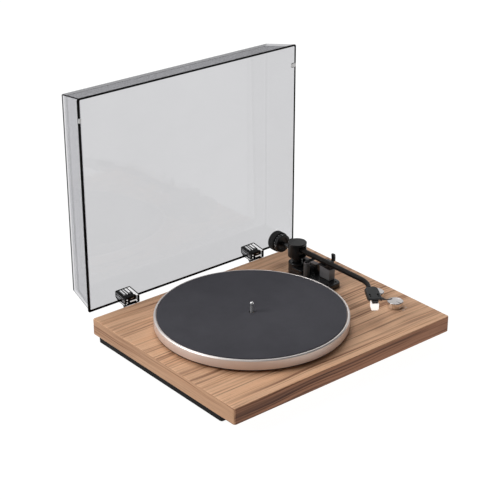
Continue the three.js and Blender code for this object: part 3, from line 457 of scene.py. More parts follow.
def smoked(name, tint, shine, slanted=0.8):
    """Clear moulding: it tints what is behind it, more at a slant, and mirrors more at a slant."""
    gloss = 0.03
    look = Look(name, tint, gloss)
    slant = look.node("LayerWeight", Blend=0.5).outputs["Facing"]
    through = look.blend(look.math("POWER", slant, 3), tint, scaled(tint, slanted), "MIX")
    haze = look.ramp(look.noise(9, look.place()), (0.3, (0.985, 0.985, 0.985)), (0.7, WHITE))
    clear = look.node("BsdfTransparent", Color=look.blend(1, through, haze))
    mirror = look.node("BsdfGlossy", Color=(0.9, 0.9, 0.92), Roughness=gloss)
    glance = look.math("MULTIPLY_ADD", look.math("POWER", slant, 5), 0.96 * shine, 0.04 * shine)
    mixed = look.node("MixShader", _0=glance, _1=clear.outputs[0], _2=mirror.outputs[0])
    look.put(look.tree.nodes["Material Output"], Surface=mixed.outputs[0])


felt("felt")

# name, the way the grain runs, light, mid and dark tones, what they are dimmed by, seed. The side, corner and
# front copies are darker as painted shade, for less light falling on those faces
for row in (
        ("walnut_top", "X", (0.78, 0.475, 0.292), (0.6, 0.345, 0.208), (0.33, 0.165, 0.095)),
        ("walnut_side", "Y", (0.66, 0.375, 0.215), (0.53, 0.285, 0.155), (0.32, 0.136, 0.058), 0.69, 4),
        ("walnut_corner", "X", (0.5, 0.27, 0.155), (0.33, 0.17, 0.095), (0.16, 0.075, 0.042), 1, 9),
        ("walnut_front", "X", (0.33, 0.142, 0.07), (0.165, 0.064, 0.029), (0.064, 0.0215, 0.0095), 1, 9)):
    veneer(*row)

# the cover's parts: tint, share of the mirroring kept, what is left of the tint at a slant. These lighter and
# darker copies of one smoked acrylic are painted light and shade for how light passes and mirrors in each wall,
# and the near-black corner and edge copies are painted dark lines
for part, *values in (
        ("", (0.785, 0.785, 0.793), 0.7), ("_side", (0.87, 0.87, 0.88), 0.9),
        ("_front", (0.79, 0.79, 0.8), 0), ("_corner", (0.02, 0.02, 0.022), 0.2),
        ("_seam", (0.1, 0.1, 0.103), 0.1), ("_ring", (0.45, 0.45, 0.458), 0),
        ("_soft", (0.66, 0.66, 0.67), 0.05, 1), ("_clear", (0.96, 0.96, 0.965), 0, 1)):
    smoked("smoke_acrylic" + part, *values)

# name, colour, roughness, tool marks to a metre, their depth, metallic
for row in (
        # platter_side's warm brown tone is partly painted reflection of the wood in front of the platter
        ("platter_side", (0.76, 0.635, 0.565), 0.52, 9000, 0.1, 0.6),
        ("platter_cut", (0.95, 0.89, 0.86), 0.4, 12000, 0.05),
        ("knob_metal", (0.8, 0.76, 0.75), 0.35, 15000, 0.015),
        ("knob_side", (0.88, 0.86, 0.85), 0.1, 9000, 0.03),
        ("chrome", (0.9, 0.9, 0.9), 0.16, 9000, 0.02),
        ("pin_satin", (0.42, 0.42, 0.43), 0.5, 9000, 0.12, 0.2),
        ("steel", (0.62, 0.63, 0.65), 0.28),
        ("brass", (0.72, 0.52, 0.24), 0.3)):
    machined(*row)

# name, colour, roughness, grains to a metre, their depth, specular level
for row in (
        ("acrylic_edge", (0.002, 0.002, 0.002), 0.3, 1200, 0.05, 0.05),
        ("clip_edge", (0.003, 0.003, 0.003), 0.3, 1800, 0.05, 0.15),
        ("gloss_black", (0.01, 0.01, 0.011), 0.22, 1500, 0.06),
        ("satin_black", (0.008, 0.008, 0.009), 0.38, 3200, 0.2, 0.35),
        ("black_metal", (0.004, 0.004, 0.0045), 0.36, 5200, 0.22, 0.4),
        ("pan_plastic", (0.004, 0.0038, 0.0035), 0.7, 1800, 0.5, 0.15),
        ("rubber", (0.018, 0.018, 0.018), 0.85, 1400, 0.5),
        ("red_plastic", (0.45, 0.03, 0.035), 0.4),
        ("board_green", (0.02, 0.09, 0.04), 0.45),
        ("arm_black", (0.007, 0.005, 0.004), 0.35, 6000, 0.08, 0.15),
        ("shell_black", (0.008, 0.009, 0.01), 0.42, 3600, 0.2, 0.35),
        ("rest_grey", (0.17, 0.165, 0.17), 0.5, 3000, 0.3),
        ("weight_grey", (0.005, 0.005, 0.005), 0.5, 3000, 0.35, 0.25),
        ("tower_grey", (0.085, 0.085, 0.086), 0.25, 2400, 0.1),
        ("block_top", (0.13, 0.108, 0.112), 0.45, 2400, 0.3),
        ("white_ink", (0.85, 0.85, 0.84), 0.6, 4000, 0.1),
        ("notch_black", (0.008, 0.008, 0.008), 0.5)):
    moulded(*row)
moulded("clip_pane", (0.6, 0.61, 0.62), 0.2, 2200, 0.05, Alpha=0.8)
moulded("clip_wall", (0.3, 0.3, 0.31), 0.2, 2200, 0.05, Alpha=0.62)
# clip_light glows a little: painted light for the bright ribs and glints of the clear hinge clips
moulded("clip_light", (0.9, 0.9, 0.9), 0.3, 2200, 0.05, Emission_Color=WHITE, Emission_Strength=0.45)
moulded("bumper_clear", (0.8, 0.8, 0.8), 0.3, 2000, 0.05, Alpha=0.75)
# white plastic glows a little, painted light, so that it reads bright white wherever it is used
moulded("white_plastic", (0.9, 0.87, 0.83), 0.35, 2600, 0.1, Emission_Color=(1, 0.95, 0.9),
        Emission_Strength=0.6)

# the slots whose material has another name
FINISH = {"walnut": "walnut_top", "black_plastic": "satin_black", "platter_metal": "platter_side",
          "board": "board_green", "acrylic": "smoke_acrylic"}


def painted(piece, material, *rules):
    """Gives a piece its material, and then another to the faces for which a rule(middle, normal) holds.
    Rules come in pairs of a material and a test in millimetres, and a later one overrides."""
    mesh = piece.data
    mesh.materials.clear()
    mesh.materials.append(MATERIALS[material])
    for face in mesh.polygons:
        face.material_index = 0
    for name, test in zip(rules[::2], rules[1::2]):
        if mesh.materials.find(name) < 0:
            mesh.materials.append(MATERIALS[name])
        for face in mesh.polygons:
            if test(face.center / MM, face.normal):
                face.material_index = mesh.materials.find(name)
    return piece


def stands_for(piece, slot, *nodes, body=None):
    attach(piece, body or BODY_OF[nodes[0]])
    if nodes:
        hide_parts(*nodes)
    return piece


def lettered(name, text, size, at, thick=0.06, flat=Matrix.Identity(4)):
    """Printed characters lying on a surface, centred on a point."""
    curve = bpy.data.curves.new(name, "FONT")
    curve.body = text
    curve.size = size * MM
    curve.extrude = thick / 2 * MM
    curve.align_x = "CENTER"
    curve.align_y = "CENTER"
    source = new_object(name + "_text", curve)
    mesh = mesh_of(source)
    bpy.data.objects.remove(source)
    piece = new_object(name, mesh)
    mesh.transform(flat)
    piece.location = ORIGIN + Vector(at) * MM
    return painted(piece, "white_ink")


# ---- plinth and feet
def build_plinth():
    low, high = box_mm("plinth")
    outline = rect(low.x, high.x, low.y, high.y, 4.2, 10)
    plinth = prism("plinth_body", outline, low.z, 0, 2, steps=8, sharp=60, low_edge=0.8)
    # the sides, the rounded upright corners and the front and back take the darker walnut copies: painted shade
    painted(plinth, "walnut_top", "walnut_side", lambda c, n: abs(n.x) > 0.72,
            "walnut_corner", lambda c, n: abs(n.y) > 0.55, "walnut_front", lambda c, n: abs(n.y) > 0.9)
    stands_for(plinth, "walnut", "plinth")


def build_feet():
    for name in ("foot_front_left", "foot_front_right", "foot_rear_left", "foot_rear_right"):
        at, r, at.z, top = round_mm(name)
        foot = lathe(name + "_pad", [
            (0, 0.8), (r - 6, 0.8, 0.4), (r - 5, 0, 0.4), (r - 2, 0, 0.8), (r, 1.7, 1),
            (r - 0.6, top - at.z, 0.3), (0, top - at.z)], 5, at, 72)
        stands_for(painted(foot, "rubber"), "rubber", name)


# ---- platter, mat and spindle
def build_platter():
    axis = round_mm("spindle")[0]
    r, bottom, top = round_mm("platter")[1:]
    mat_radius, mat_bottom, mat_top = round_mm("platter_mat")[1:]
    web = 14.5
    casting = lathe("platter_casting", [
        (3.9, 9.3), (14, 9.3, 0.6), (16, web, 1), (82, web, 0.5), (82, 5), (86, 5), (86, web, 0.5),
        (r - 12, web, 2), (r - 11, bottom, 0.5), (r - 0.6, bottom, 0.3),
        (r - 0.5, bottom + 1.8, 0.2), (r, bottom + 2, 0.3), (r, top - 1.5, 0.2),
        (r - 1.8, top, 0.2), (mat_radius + 1.4, top, 0.1), (mat_radius + 0.7, mat_bottom - 0.3, 0.3),
        (3.9, mat_bottom - 0.3)], 3, axis, 256)
    # the stepped-in lowest band of the rim is black: painted shade for the dark line under the platter
    painted(casting, "platter_side",
            "notch_black", lambda c, n: c.z < bottom + 1.9 and hypot(c.x, c.y) > r - 1.5,
            "platter_cut", lambda c, n: c.z > top - 1.55 and hypot(c.x, c.y) > mat_radius + 1)
    stands_for(casting, "platter_metal", "platter")
    mat = lathe("felt_mat", [(4.2, mat_bottom), (mat_radius, mat_bottom, 0.3), (mat_radius, mat_top, 0.7),
                             (4.2, mat_top, 0.5)], 4, axis, 256)
    stands_for(painted(mat, "felt"), "felt", "platter_mat")
    bottom, top = round_mm("spindle")[2:]
    spindle = lathe("spindle_pin", [
        (0, bottom), (2.3, bottom + 0.6, 0.5), (3.55, bottom + 2, 0.4), (3, 5), (10, 5, 0.3), (11, 6, 0.3),
        (11, 9), (2.4, 9), (2.2, top - 6, 0.6), (2.9, top - 4.8, 1), (3.1, top - 2.8, 1.4),
        (2.2, top - 0.5, 1), (0, top)], 4, axis, 64, sharp=50)
    stands_for(painted(spindle, "chrome", "pin_satin", lambda c, n: c.z < top - 5), "chrome", "spindle")


# ---- knobs
def build_knobs():
    mark_reach = 17.2
    for kind in ("speed", "power"):
        at, r, _, top = round_mm(kind + "_knob")
        cap = lathe(kind + "_knob_cap", [
            (3.3, 0.6), (6, 0.6), (6, 2.4), (r - 1.6, 2.4), (r - 1.6, 0.6, 0.2), (r, 0.6, 0.3),
            (r, top - 0.7, 0.25), (r - 0.7, top, 0.25), (r - 2.2, top, 0.2),
            (r - 2.5, top - 0.35, 0.2), (0, top - 0.35), (0, 7.5), (3.3, 7.5)], 4, at, 128)
        notch = rect(-0.75, 0.75, -r - 1, -r + 5.2, 0.5)
        carved(cap, prism("slot", notch, top - 1.1, top + 2, 0, at))
        painted(cap, "knob_metal", "knob_side", lambda c, n: hypot(c.x, c.y) > r - 0.75,
                "notch_black", lambda c, n: abs(c.x) < 0.78 and c.y < 5.3 - r and top - 1.2 < c.z < top - 0.3
                and (abs(n.x) > 0.9 or n.z > 0.9 or n.y < -0.9 and c.y > 4 - r))
        stands_for(cap, "knob_metal", kind + "_knob")
    speed = centre_mm("speed_knob")
    for text, angle in (("33", radians(-86)), ("45", radians(-56))):
        at = (speed.x + mark_reach * cos(angle), speed.y + mark_reach * sin(angle), 0.03)
        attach(lettered("speed_mark_" + text, text, 4.6, at), "root")


# ---- small helpers for the arm
def screw_head(name, at, radius, material, flat=Matrix.Identity(4)):
    """A low round head with a hexagonal socket."""
    def socket(r, z, angle):
        return r if r > radius * 0.55 else r * cos(pi / 6) / cos(angle % (pi / 3) - pi / 6)

    head = lathe(name, [(0, 0.1), (radius * 0.5, 0.1), (radius * 0.5, 1.1), (radius - 0.25, 1.1, 0.2),
                        (radius, 0.8, 0.2), (radius, -0.4), (0, -0.4)], 3, at, 48, socket, 25)
    return turned(painted(head, material), flat)


def grip_ridges(count, depth, low, high):
    """Knurls a lathed piece between two heights."""
    def radius_of(r, z, angle):
        return r - depth * (0.5 - 0.5 * cos(count * angle)) if low < z < high else r
    return radius_of


PIVOT = centre_mm("arm_pillar")
AT_PIVOT = (PIVOT.x, PIVOT.y, 0)
TUBE_Z = centre_mm("arm_tube").z
STUB_Z = centre_mm("counterweight").z
REST_LEFT = 141         # the left side of the arm rest and of the ridge before it


# ---- tonearm base, lift and rest
def build_arm_base():
    low, high = box_mm("arm_base")
    x, y = PIVOT.x, PIVOT.y
    rear = x - low.x
    right = high.x - 3.5
    stem = box_mm("lift_bar")[0]
    lift_x, lift_y = stem.x + 4.2, stem.y + 3
    deck, saddle, ridge, cheek, drum = 9, 15, 26, 20.5, 20      # heights of the base and what stands on it
    under = deck - 1
    outline = arc(rear, x, y, 0, 180, 28) + fillet(
        [(low.x, y - 1), (low.x, low.y, 10), (right, low.y, 10), (right, y - 30)], 8, False)
    tower = lathe("lift_tower", [
        (0, under), (5.2, under), (5.2, 27, 0.3), (4.8, 27.4, 0.2), (4.8, 28, 0.2), (5.2, 28.4, 0.2),
        (5.2, high.z, 0.8), (2.2, high.z, 0.3), (2.2, high.z - 3), (0, high.z - 3)],
        4, (lift_x, lift_y, 0), 64)
    parts = [
        prism("body", outline, low.z, deck, 1.3, steps=5),
        lathe("drum", [(0, under), (rear - 0.1, under), (rear - 0.1, drum, 1.3), (8.6, drum, 0.3),
                       (8.6, drum - 0.6), (0, drum - 0.6)], 6, AT_PIVOT, 96),
        prism("saddle", rect(x - rear, x + rear, y - 26, y, 5), under, saddle, 1.2, steps=5),
        prism("ridge", rect(REST_LEFT, 150.5, lift_y - 6, lift_y + 27, 1.8), under, ridge, 0.9, steps=4),
        prism("lever_cheek", rect(142, right, 56, 68, 2), under, cheek, 0.9, steps=4),
        tower,
        lathe("skate_boss", [(0, low.z), (8.5, low.z, 0.4), (8.5, 13.6, 0.7), (0, 13.6)], 5,
              round_mm("anti_skate_dial")[0], 72)]
    # the top faces of the ridge, tower and blocks are lighter: painted sheen
    for part in parts:
        painted(part, "tower_grey" if part == tower else "gloss_black",
                "block_top", lambda c, n: n.z > 0.75 and c.z > ridge - 2)
    screws = [screw_head("base_screw", (sx, low.y + 7.5, deck - 0.3), 2.3, "black_metal")
              for sx in (low.x + 8, right - 8)]
    stands_for(joined("arm_base_body", *parts, *screws), "gloss_black", "arm_base")


def build_pillar():
    at, _, bottom, top = round_mm("arm_pillar")
    pillar = lathe("arm_pillar_post", [
        (3.4, bottom), (5, bottom, 0.4), (5, -0.2), (6, 0.4), (6, 20.3), (8, 20.3, 0.5), (8, 23.4, 0.25),
        (7.5, 23.8, 0.2), (7.5, 24.6, 0.2), (8, 25, 0.25), (8, top - 0.9, 0.6), (7, top, 0.3), (3.4, top)],
        4, at, 80)
    stands_for(painted(pillar, "black_metal"), "black_metal", "arm_pillar")


def build_skate_dial():
    at, r, bottom, top = round_mm("anti_skate_dial")
    cap = 13.9
    dial = lathe("anti_skate_cap", [
        (0, bottom), (2, bottom, 0.3), (2, cap), (r, cap, 0.3), (r, cap + 0.8), (r, top - 1.2),
        (r, top - 0.9), (r - 0.9, top, 0.5), (r - 2, top, 0.2), (r - 2.3, top - 0.3, 0.2),
        (0, top - 0.3)], 4, at, 240, grip_ridges(36, 0.35, cap + 0.7, top - 0.95))
    stands_for(painted(dial, "satin_black"), "black_plastic", "anti_skate_dial")
    pointer = prism("anti_skate_pointer", rect(-0.35, 0.35, -r + 0.9, -r + 4, 0.3),
                    top - 0.35, top - 0.2, 0.05, at)
    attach(painted(pointer, "white_ink"), "anti_skate_dial")
    ticks = []
    for i in range(10):
        outline = rect(r + 0.5, r + (1.7 if i % 3 else 2), -0.16, 0.16, 0.1)
        tick = turned(prism("tick", outline, 13.55, 13.66, 0.03),
                      Matrix.Rotation(-pi / 2 - radians(30 * i), 4, "Z"))
        ticks.append(painted(tick, "white_ink"))
    ring = joined("anti_skate_scale", *ticks)
    ring.location = ORIGIN + at * MM
    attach(ring, "root")


def build_cue():
    low, high = box_mm("lift_bar")
    under = 33.4
    bar = prism("bar", rect(low.x, high.x, low.y, high.y, 2.9, 8), under, high.z, 0.35)
    pad = prism("pad", rect(low.x + 9, high.x - 1.2, low.y + 1.2, high.y - 1.2, 1.6, 6),
                high.z - 0.3, high.z, 0.1)
    stem = lathe("stem", [(0, low.z), (1.9, low.z, 0.3), (1.9, under + 0.2), (0, under + 0.2)], 3,
                 (low.x + 4.2, low.y + 3, 0), 40)
    parts = painted(bar, "satin_black"), painted(pad, "rubber"), painted(stem, "steel")
    stands_for(joined("lift_platform", *parts), "black_plastic", "lift_bar")

    hinge = Vector((156.4, 62, 15))
    arm = hinge + Vector((1.8, 0, 0))
    along = spin(-12, "X") @ TO_FRONT     # local Z runs down the lever, which is raised by 12 degrees
    boss = lathe("boss", [(0, -10.4), (2, -10.4, 0.3), (2, 0), (4.4, 0, 0.3), (4.4, 3.6, 0.8), (0, 3.6)],
                 4, hinge, 64)
    rod = lathe("rod", [(0, 2), (1.5, 2), (1.5, 27), (0, 27)], 2, arm, 32)
    grip = lathe("grip", [(0, 25), (2.3, 25.4, 0.6), (2.5, 29), (2.5, 34, 0.6), (1.8, 35.4, 0.6), (0, 35.6)],
                 4, arm, 160, grip_ridges(20, 0.22, 26.5, 34.2))
    lever = joined("cue_handle", painted(turned(boss, ALONG_X), "satin_black"),
                   painted(turned(rod, along), "chrome"), painted(turned(grip, along), "satin_black"))
    stands_for(lever, "black_plastic", "cue_lever")


def build_rest():
    low, high = box_mm("arm_rest")
    x0, x1, top = REST_LEFT, high.x, 28
    body = prism("body", rect(x0, x1, low.y, high.y, 1.3, 6), low.z, top, 0.7, steps=4)
    lip = TUBE_Z - 4.8
    cradle = fillet([(x0 + 1, top - 1), (x1 - 1.5, top - 1), (x1 - 1.5, 40.4, 0.8), (141.9, 40.4, 0.6)],
                    4, False)
    cradle += arc(5, PIVOT.x + 0.4, TUBE_Z, -25, -82, 8)
    cradle += fillet([(130.5, lip), (130, lip, 0.6), (130, lip - 2.4, 0.8), (x0 + 1, lip - 4.4, 1.5),
                      (x0 + 1, top - 0.5)], 3, False)
    hook = turned(prism("cradle", cradle, -low.y - 15.5, -low.y - 1.5, 0.3), TO_FRONT)
    # the rest's top faces are lighter: painted sheen
    painted(body, "rest_grey", "block_top", lambda c, n: n.z > 0.75)
    rest = joined("arm_rest_block", body, painted(hook, "satin_black"))
    stands_for(rest, "black_plastic", "arm_rest")
    low, high = box_mm("arm_clip")
    x, z = joint_mm("arm_clip_turn").xz
    profile = fillet([(x + dx, z + dz, rounding) for dx, dz, rounding in (
        (-1.9, -1.9, 0.4), (2.4, -1.9, 0.4), (2.7, 4, 4), (2.2, 9.4, 1), (1.4, 10.5, 0.5), (-1.9, 10.5, 0.5),
        (-2.3, 9.4, 1), (-1.6, 4, 4))])
    clip = turned(prism("rest_clip", profile, -high.y, -low.y, 0.25), TO_FRONT)
    stands_for(painted(clip, "satin_black"), "black_plastic", "arm_clip")


# ---- tonearm
def build_yoke():
    low, high = box_mm("arm_yoke")
    top = high.z + 0.3
    r = (high.x - low.x) / 2 + 0.1
    cup = lathe("arm_yoke_cup", [
        (0, 30), (r, 30, 0.9), (r, top - 2.2, 0.2), (r + 0.3, top - 1.7, 0.2),
        (r + 0.3, top - 0.7, 0.5), (r - 0.4, top + 0.1, 0.4), (r - 1.4, top - 0.2, 0.3),
        (0, top - 0.1)], 5, AT_PIVOT, 160)
    carved(cup, prism("window", rect(-7.5, 7.5, -20, 20, 1.5), 32.3, 50.8, 0.8, AT_PIVOT), sharp=28)
    shaft = lathe("yoke_shaft", [(0, -9), (3, -9), (3, 31), (0, 31)], 1, AT_PIVOT, 32)
    whole = joined("arm_yoke_cup", painted(cup, "black_metal"), painted(shaft, "steel"))
    stands_for(whole, "black_metal", "arm_yoke")


BEND = {"straight": 150, "radius": 42, "turn": radians(34.5), "end": 7.7}


def bend_point(turn):
    """The arm's centre line in its bend, from the pivot, once it has turned by an angle."""
    return Vector((-BEND["radius"] * (1 - cos(turn)), -BEND["straight"] - BEND["radius"] * sin(turn), TUBE_Z))


def build_arm_tube():
    steps = 20
    ahead = Vector((-sin(BEND["turn"]), -cos(BEND["turn"]), 0))
    path = [Vector((0, -9.8, TUBE_Z))] + [bend_point(BEND["turn"] * i / steps) for i in range(steps + 1)]
    path.append(path[-1] + ahead * BEND["end"])
    radii = [4.5] + [4.2 - 0.6 * i / steps for i in range(steps + 1)] + [3.5]
    tube = sweep("arm_tube_skin", path, radii, AT_PIVOT)
    collar = turned(lathe("collar", [(0, 9.8), (5, 9.8, 0.4), (5, 13.4, 0.5), (4.2, 13.8), (0, 13.8)], 4,
                          (PIVOT.x, PIVOT.y, TUBE_Z), 64), TO_FRONT)
    whole = joined("arm_tube_skin", painted(tube, "arm_black"), painted(collar, "black_metal"))
    stands_for(whole, "black_metal", "arm_tube")


def on_shell(piece, *nodes, slot="black_plastic"):
    """Sets a piece that was drawn about the headshell: X across it, -Y ahead, and Z as everywhere."""
    start = bend_point(BEND["turn"])
    place = Matrix.Translation(ORIGIN + Vector((PIVOT.x + start.x, PIVOT.y + start.y, 0)) * MM)
    piece.matrix_basis = place @ Matrix.Rotation(-BEND["turn"], 4, "Z") @ Matrix.Translation((2.5 * MM, 0, 0))
    stands_for(piece, slot, *nodes, body="tonearm")


SHELL = {"back": -8, "front": -50, "half": 10.15, "top": 46.6}


def build_headshell():
    back, front, half, top = SHELL.values()
    right = [(6.2, back, 0.8), (9.5, back - 5, 2.5), (half, back - 14, 6), (half, front + 2.6, 1.2),
             (8, front, 1)]
    left = [(-x, y, r) for x, y, r in right]
    outline = fillet([right[0]] + left + right[:0:-1], 4)
    deck = prism("headshell_body", outline, top - 2.6, top, 0.8, steps=4, low_edge=0.2)
    carved(deck, *(prism("slot", rect(x - 1.4, x + 1.4, front + 7, front + 17, 1.3), top - 4, top + 1, 0)
                   for x in (-6.2, 6.2)))
    wall = fillet([
        (front + 0.2, top - 4.4, 0.8), (front + 8, top - 5.2, 5), (front + 12, top - 8.4, 3),
        (front + 24, top - 8.8, 4), (back - 2, top - 7.4, 1), (back - 1, top - 5.6), (back - 4, top - 1.6),
        (front + 0.2, top - 1.6)], 5)
    walls = [turned(prism("wall", wall, x, x + 1.8, 0.3), UPRIGHT) for x in (-half + 0.1, half - 1.9)]
    neck = prism("neck", fillet([
        (6, back - 0.3, 1), (-6, back - 0.3, 1), (-9, back - 5.5, 2), (-9, back - 9), (9, back - 9),
        (9, back - 5.5, 2)], 4), top - 7.4, top - 1, 1.2, steps=4)
    parts = [painted(part, "shell_black") for part in (deck, neck, *walls)]
    on_shell(joined("headshell_body", *parts), "headshell")
    for name, x in (("left", -6.2), ("right", 6.2)):
        screw = screw_head("cartridge_screw_" + name, (0, 0, 0), 2, "notch_black")
        on_shell(moved(screw, x, front + 11, top - 1.2), slot="black_metal")


def build_finger_lift():
    front, top = SHELL["front"], SHELL["top"]
    root, reach, thick = SHELL["half"] + 0.3, 16.2, 0.55
    rings = []
    steps = 16
    for i in range(steps + 1):
        t = i / steps
        x = root + reach * t
        z = top - 2.8 - 3.2 * 2 * t * (1 - t) - 0.9 * t * t
        near = front + 2 + 2.4 * t
        far = front + 14 - 11 * (1 - (1 - t) ** 3) + 2.4 * t
        section = rect(near, max(far, near + 2.2), z - thick, z + thick, 0.5, 3)
        rings.append([(x, p.x, p.y) for p in section])
    on_shell(painted(loft("finger_lift_blade", rings, sharp=40), "shell_black"), "finger_lift")


def block(name, material, *levels):
    """A loft through rounded rectangles, each (half width, front, back, z, corner)."""
    return painted(loft(name, [[(p.x, p.y, z) for p in rect(-half, half, near, far, corner, 5)]
                               for half, near, far, z, corner in levels]), material)


def build_cartridge():
    front, top = SHELL["front"], SHELL["top"] - 2.9
    back = front + 27
    low, high = box_mm("stylus_assembly")
    seam, low = high.z + 0.3, low.z
    nose = block(
        "nose", "gloss_black",
        (4.2, front + 0.8, back - 0.2, seam, 0.8), (4.5, front + 0.4, back, seam + 0.4, 1),
        (4.8, front - 0.5, back, seam + 2.5, 1), (4.8, front - 0.3, back, top - 1, 1),
        (4.5, front + 0.2, back - 0.3, top, 0.8))
    ears = prism("ears", rect(-8.2, 8.2, front + 6, front + 24, 1.4), top - 2, top, 0.4)
    pin = [(0, 1 - back), (0.6, 1 - back), (0.6, -4 - back, 0.2), (0, -4 - back)]
    pins = [painted(turned(lathe("pin", pin, 2, (x, 0, top - drop), 20), TO_FRONT), "brass")
            for x in (-2.5, 2.5) for drop in (2, 4.6)]
    on_shell(joined("cartridge_body", nose, painted(ears, "gloss_black"), *pins), "cartridge")

    # the grip's white plastic glows: painted light
    grip = block(
        "grip", "white_plastic", (4.6, front + 1.2, front + 7.6, low + 2.8, 0.6),
        (5, front + 0.8, front + 8.2, low + 3.1, 0.8), (5.5, front + 0.2, front + 10.6, low + 4.8, 1),
        (5.8, front - 0.2, front + 11.6, low + 5.4, 1.2), (6, front - 0.4, front + 12, seam - 1.2, 1.2),
        (5.7, front, front + 11.8, seam - 0.4, 1))
    blade = lathe("cantilever", [(0, 0), (0.35, 0, 0.1), (0.3, 6, 0.1), (0, 6)], 2, (0, 0, 0), 20)
    moved(turned(blade, spin(98, "X")), 0, front + 6.5, low + 2.2)
    on_shell(joined("stylus_grip", grip, painted(blade, "steel")), "stylus_assembly", slot="white_plastic")


def build_counterweight():
    low, high = box_mm("counterweight")
    axis = ((low.x + high.x) / 2, PIVOT.y, STUB_Z)
    front, back = low.y - PIVOT.y, high.y - PIVOT.y + 1.2
    r = (high.z - low.z) / 2 + 0.8
    bore = 3.9
    weight = lathe("counterweight_disc", [
        (bore, front), (r - 0.7, front, 0.3), (r - 0.1, front + 0.7, 0.3),
        (r - 0.1, front + 1.5, 0.15), (r - 0.5, front + 1.8), (r, front + 2),
        (r, back - 2.9), (r - 0.5, back - 2.7), (r - 0.1, back - 2.4, 0.15),
        (r - 0.1, back - 1.6, 0.5), (r - 1.7, back, 0.5), (bore + 4.4, back, 0.4),
        (bore + 3.4, back - 1, 0.3), (bore + 1.4, back - 1.4), (bore, back - 1.4)], 4,
        axis, 288, grip_ridges(72, 0.3, front + 1.9, back - 2.8), 28)
    stands_for(painted(turned(weight, ALONG_Y), "weight_grey"), "black_metal", "counterweight")

    low, high = box_mm("tracking_force_ring")
    front, back = low.y - PIVOT.y, high.y - PIVOT.y
    r = (high.z - low.z) / 2
    ring = lathe("force_ring_skin", [
        (bore, front + 1.2), (bore + 5, front + 1.2, 0.4), (bore + 5.6, front, 0.4), (r - 0.9, front, 0.5),
        (r, front + 0.9, 0.5), (r, back, 0.2), (bore, back)], 4, axis, 128)
    marks = []
    for i in range(20):
        length = 1.1 if i % 5 else 1.7
        outline = rect(-0.2, 0.2, back - 0.25 - length, back - 0.25, 0.1)
        tick = turned(prism("tick", outline, r - 0.1, r + 0.05, 0.03, axis), spin(18 * i, "Y"))
        marks.append(painted(tick, "white_ink"))
    for i, digit in enumerate("0123"):
        stand = Matrix.Translation((0, (front + 2.5) * MM, (r - 0.06) * MM))
        upright = spin(90 * i, "Y") @ stand @ spin(180, "Z")
        marks.append(lettered("digit", digit, 3.6, axis, 0.2, upright))
    scale = joined("force_scale", *marks)
    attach(scale, "force_ring")
    stands_for(painted(turned(ring, ALONG_Y), "satin_black"), "black_plastic", "tracking_force_ring")


def build_stub():
    start, end = 4, box_mm("rear_stub")[1].y - PIVOT.y
    stub = lathe("rear_stub_rod", [
        (0, start), (2.6, start), (2.6, 9.8), (3.6, 9.8, 0.3), (3.6, end - 0.6, 0.2), (3, end, 0.3),
        (0, end)], 3, (PIVOT.x, PIVOT.y, STUB_Z), 64)
    stands_for(painted(turned(stub, ALONG_Y), "gloss_black"), "steel", "rear_stub")


# ---- dust cover
HINGE_AXIS = joint_mm("cover_hinge")
PLINTH_BACK = box_mm("plinth")[1].y
LID_LEAN = 10.2 / 60.3
LID_WALL = 3
LEFT_LEAN_LESS = 0.012
TOP_LEAN_MORE = 0.011
LIP = {"left": 2.2, "right": 1.6, "front": 0.04, "hinge": 2.3}      # how far the rim stands out
LIP_DEPTH = 1.6
# the black edge is painted shade, for the dark rim that thick acrylic shows when seen edge-on
BLACK = {"left": 1.9, "right": 2, "front": 2.9, "hinge": 2}     # how far its black edge runs in


def on_cover(piece, slot, *nodes):
    """Opens a piece that was drawn closed, about the hinge axis: X across, Y back, Z up."""
    piece.matrix_basis = Matrix.Translation(ORIGIN + Vector((0, HINGE_AXIS.y, HINGE_AXIS.z)) * MM) @ ALONG_Y
    stands_for(piece, slot, *nodes, body="cover")


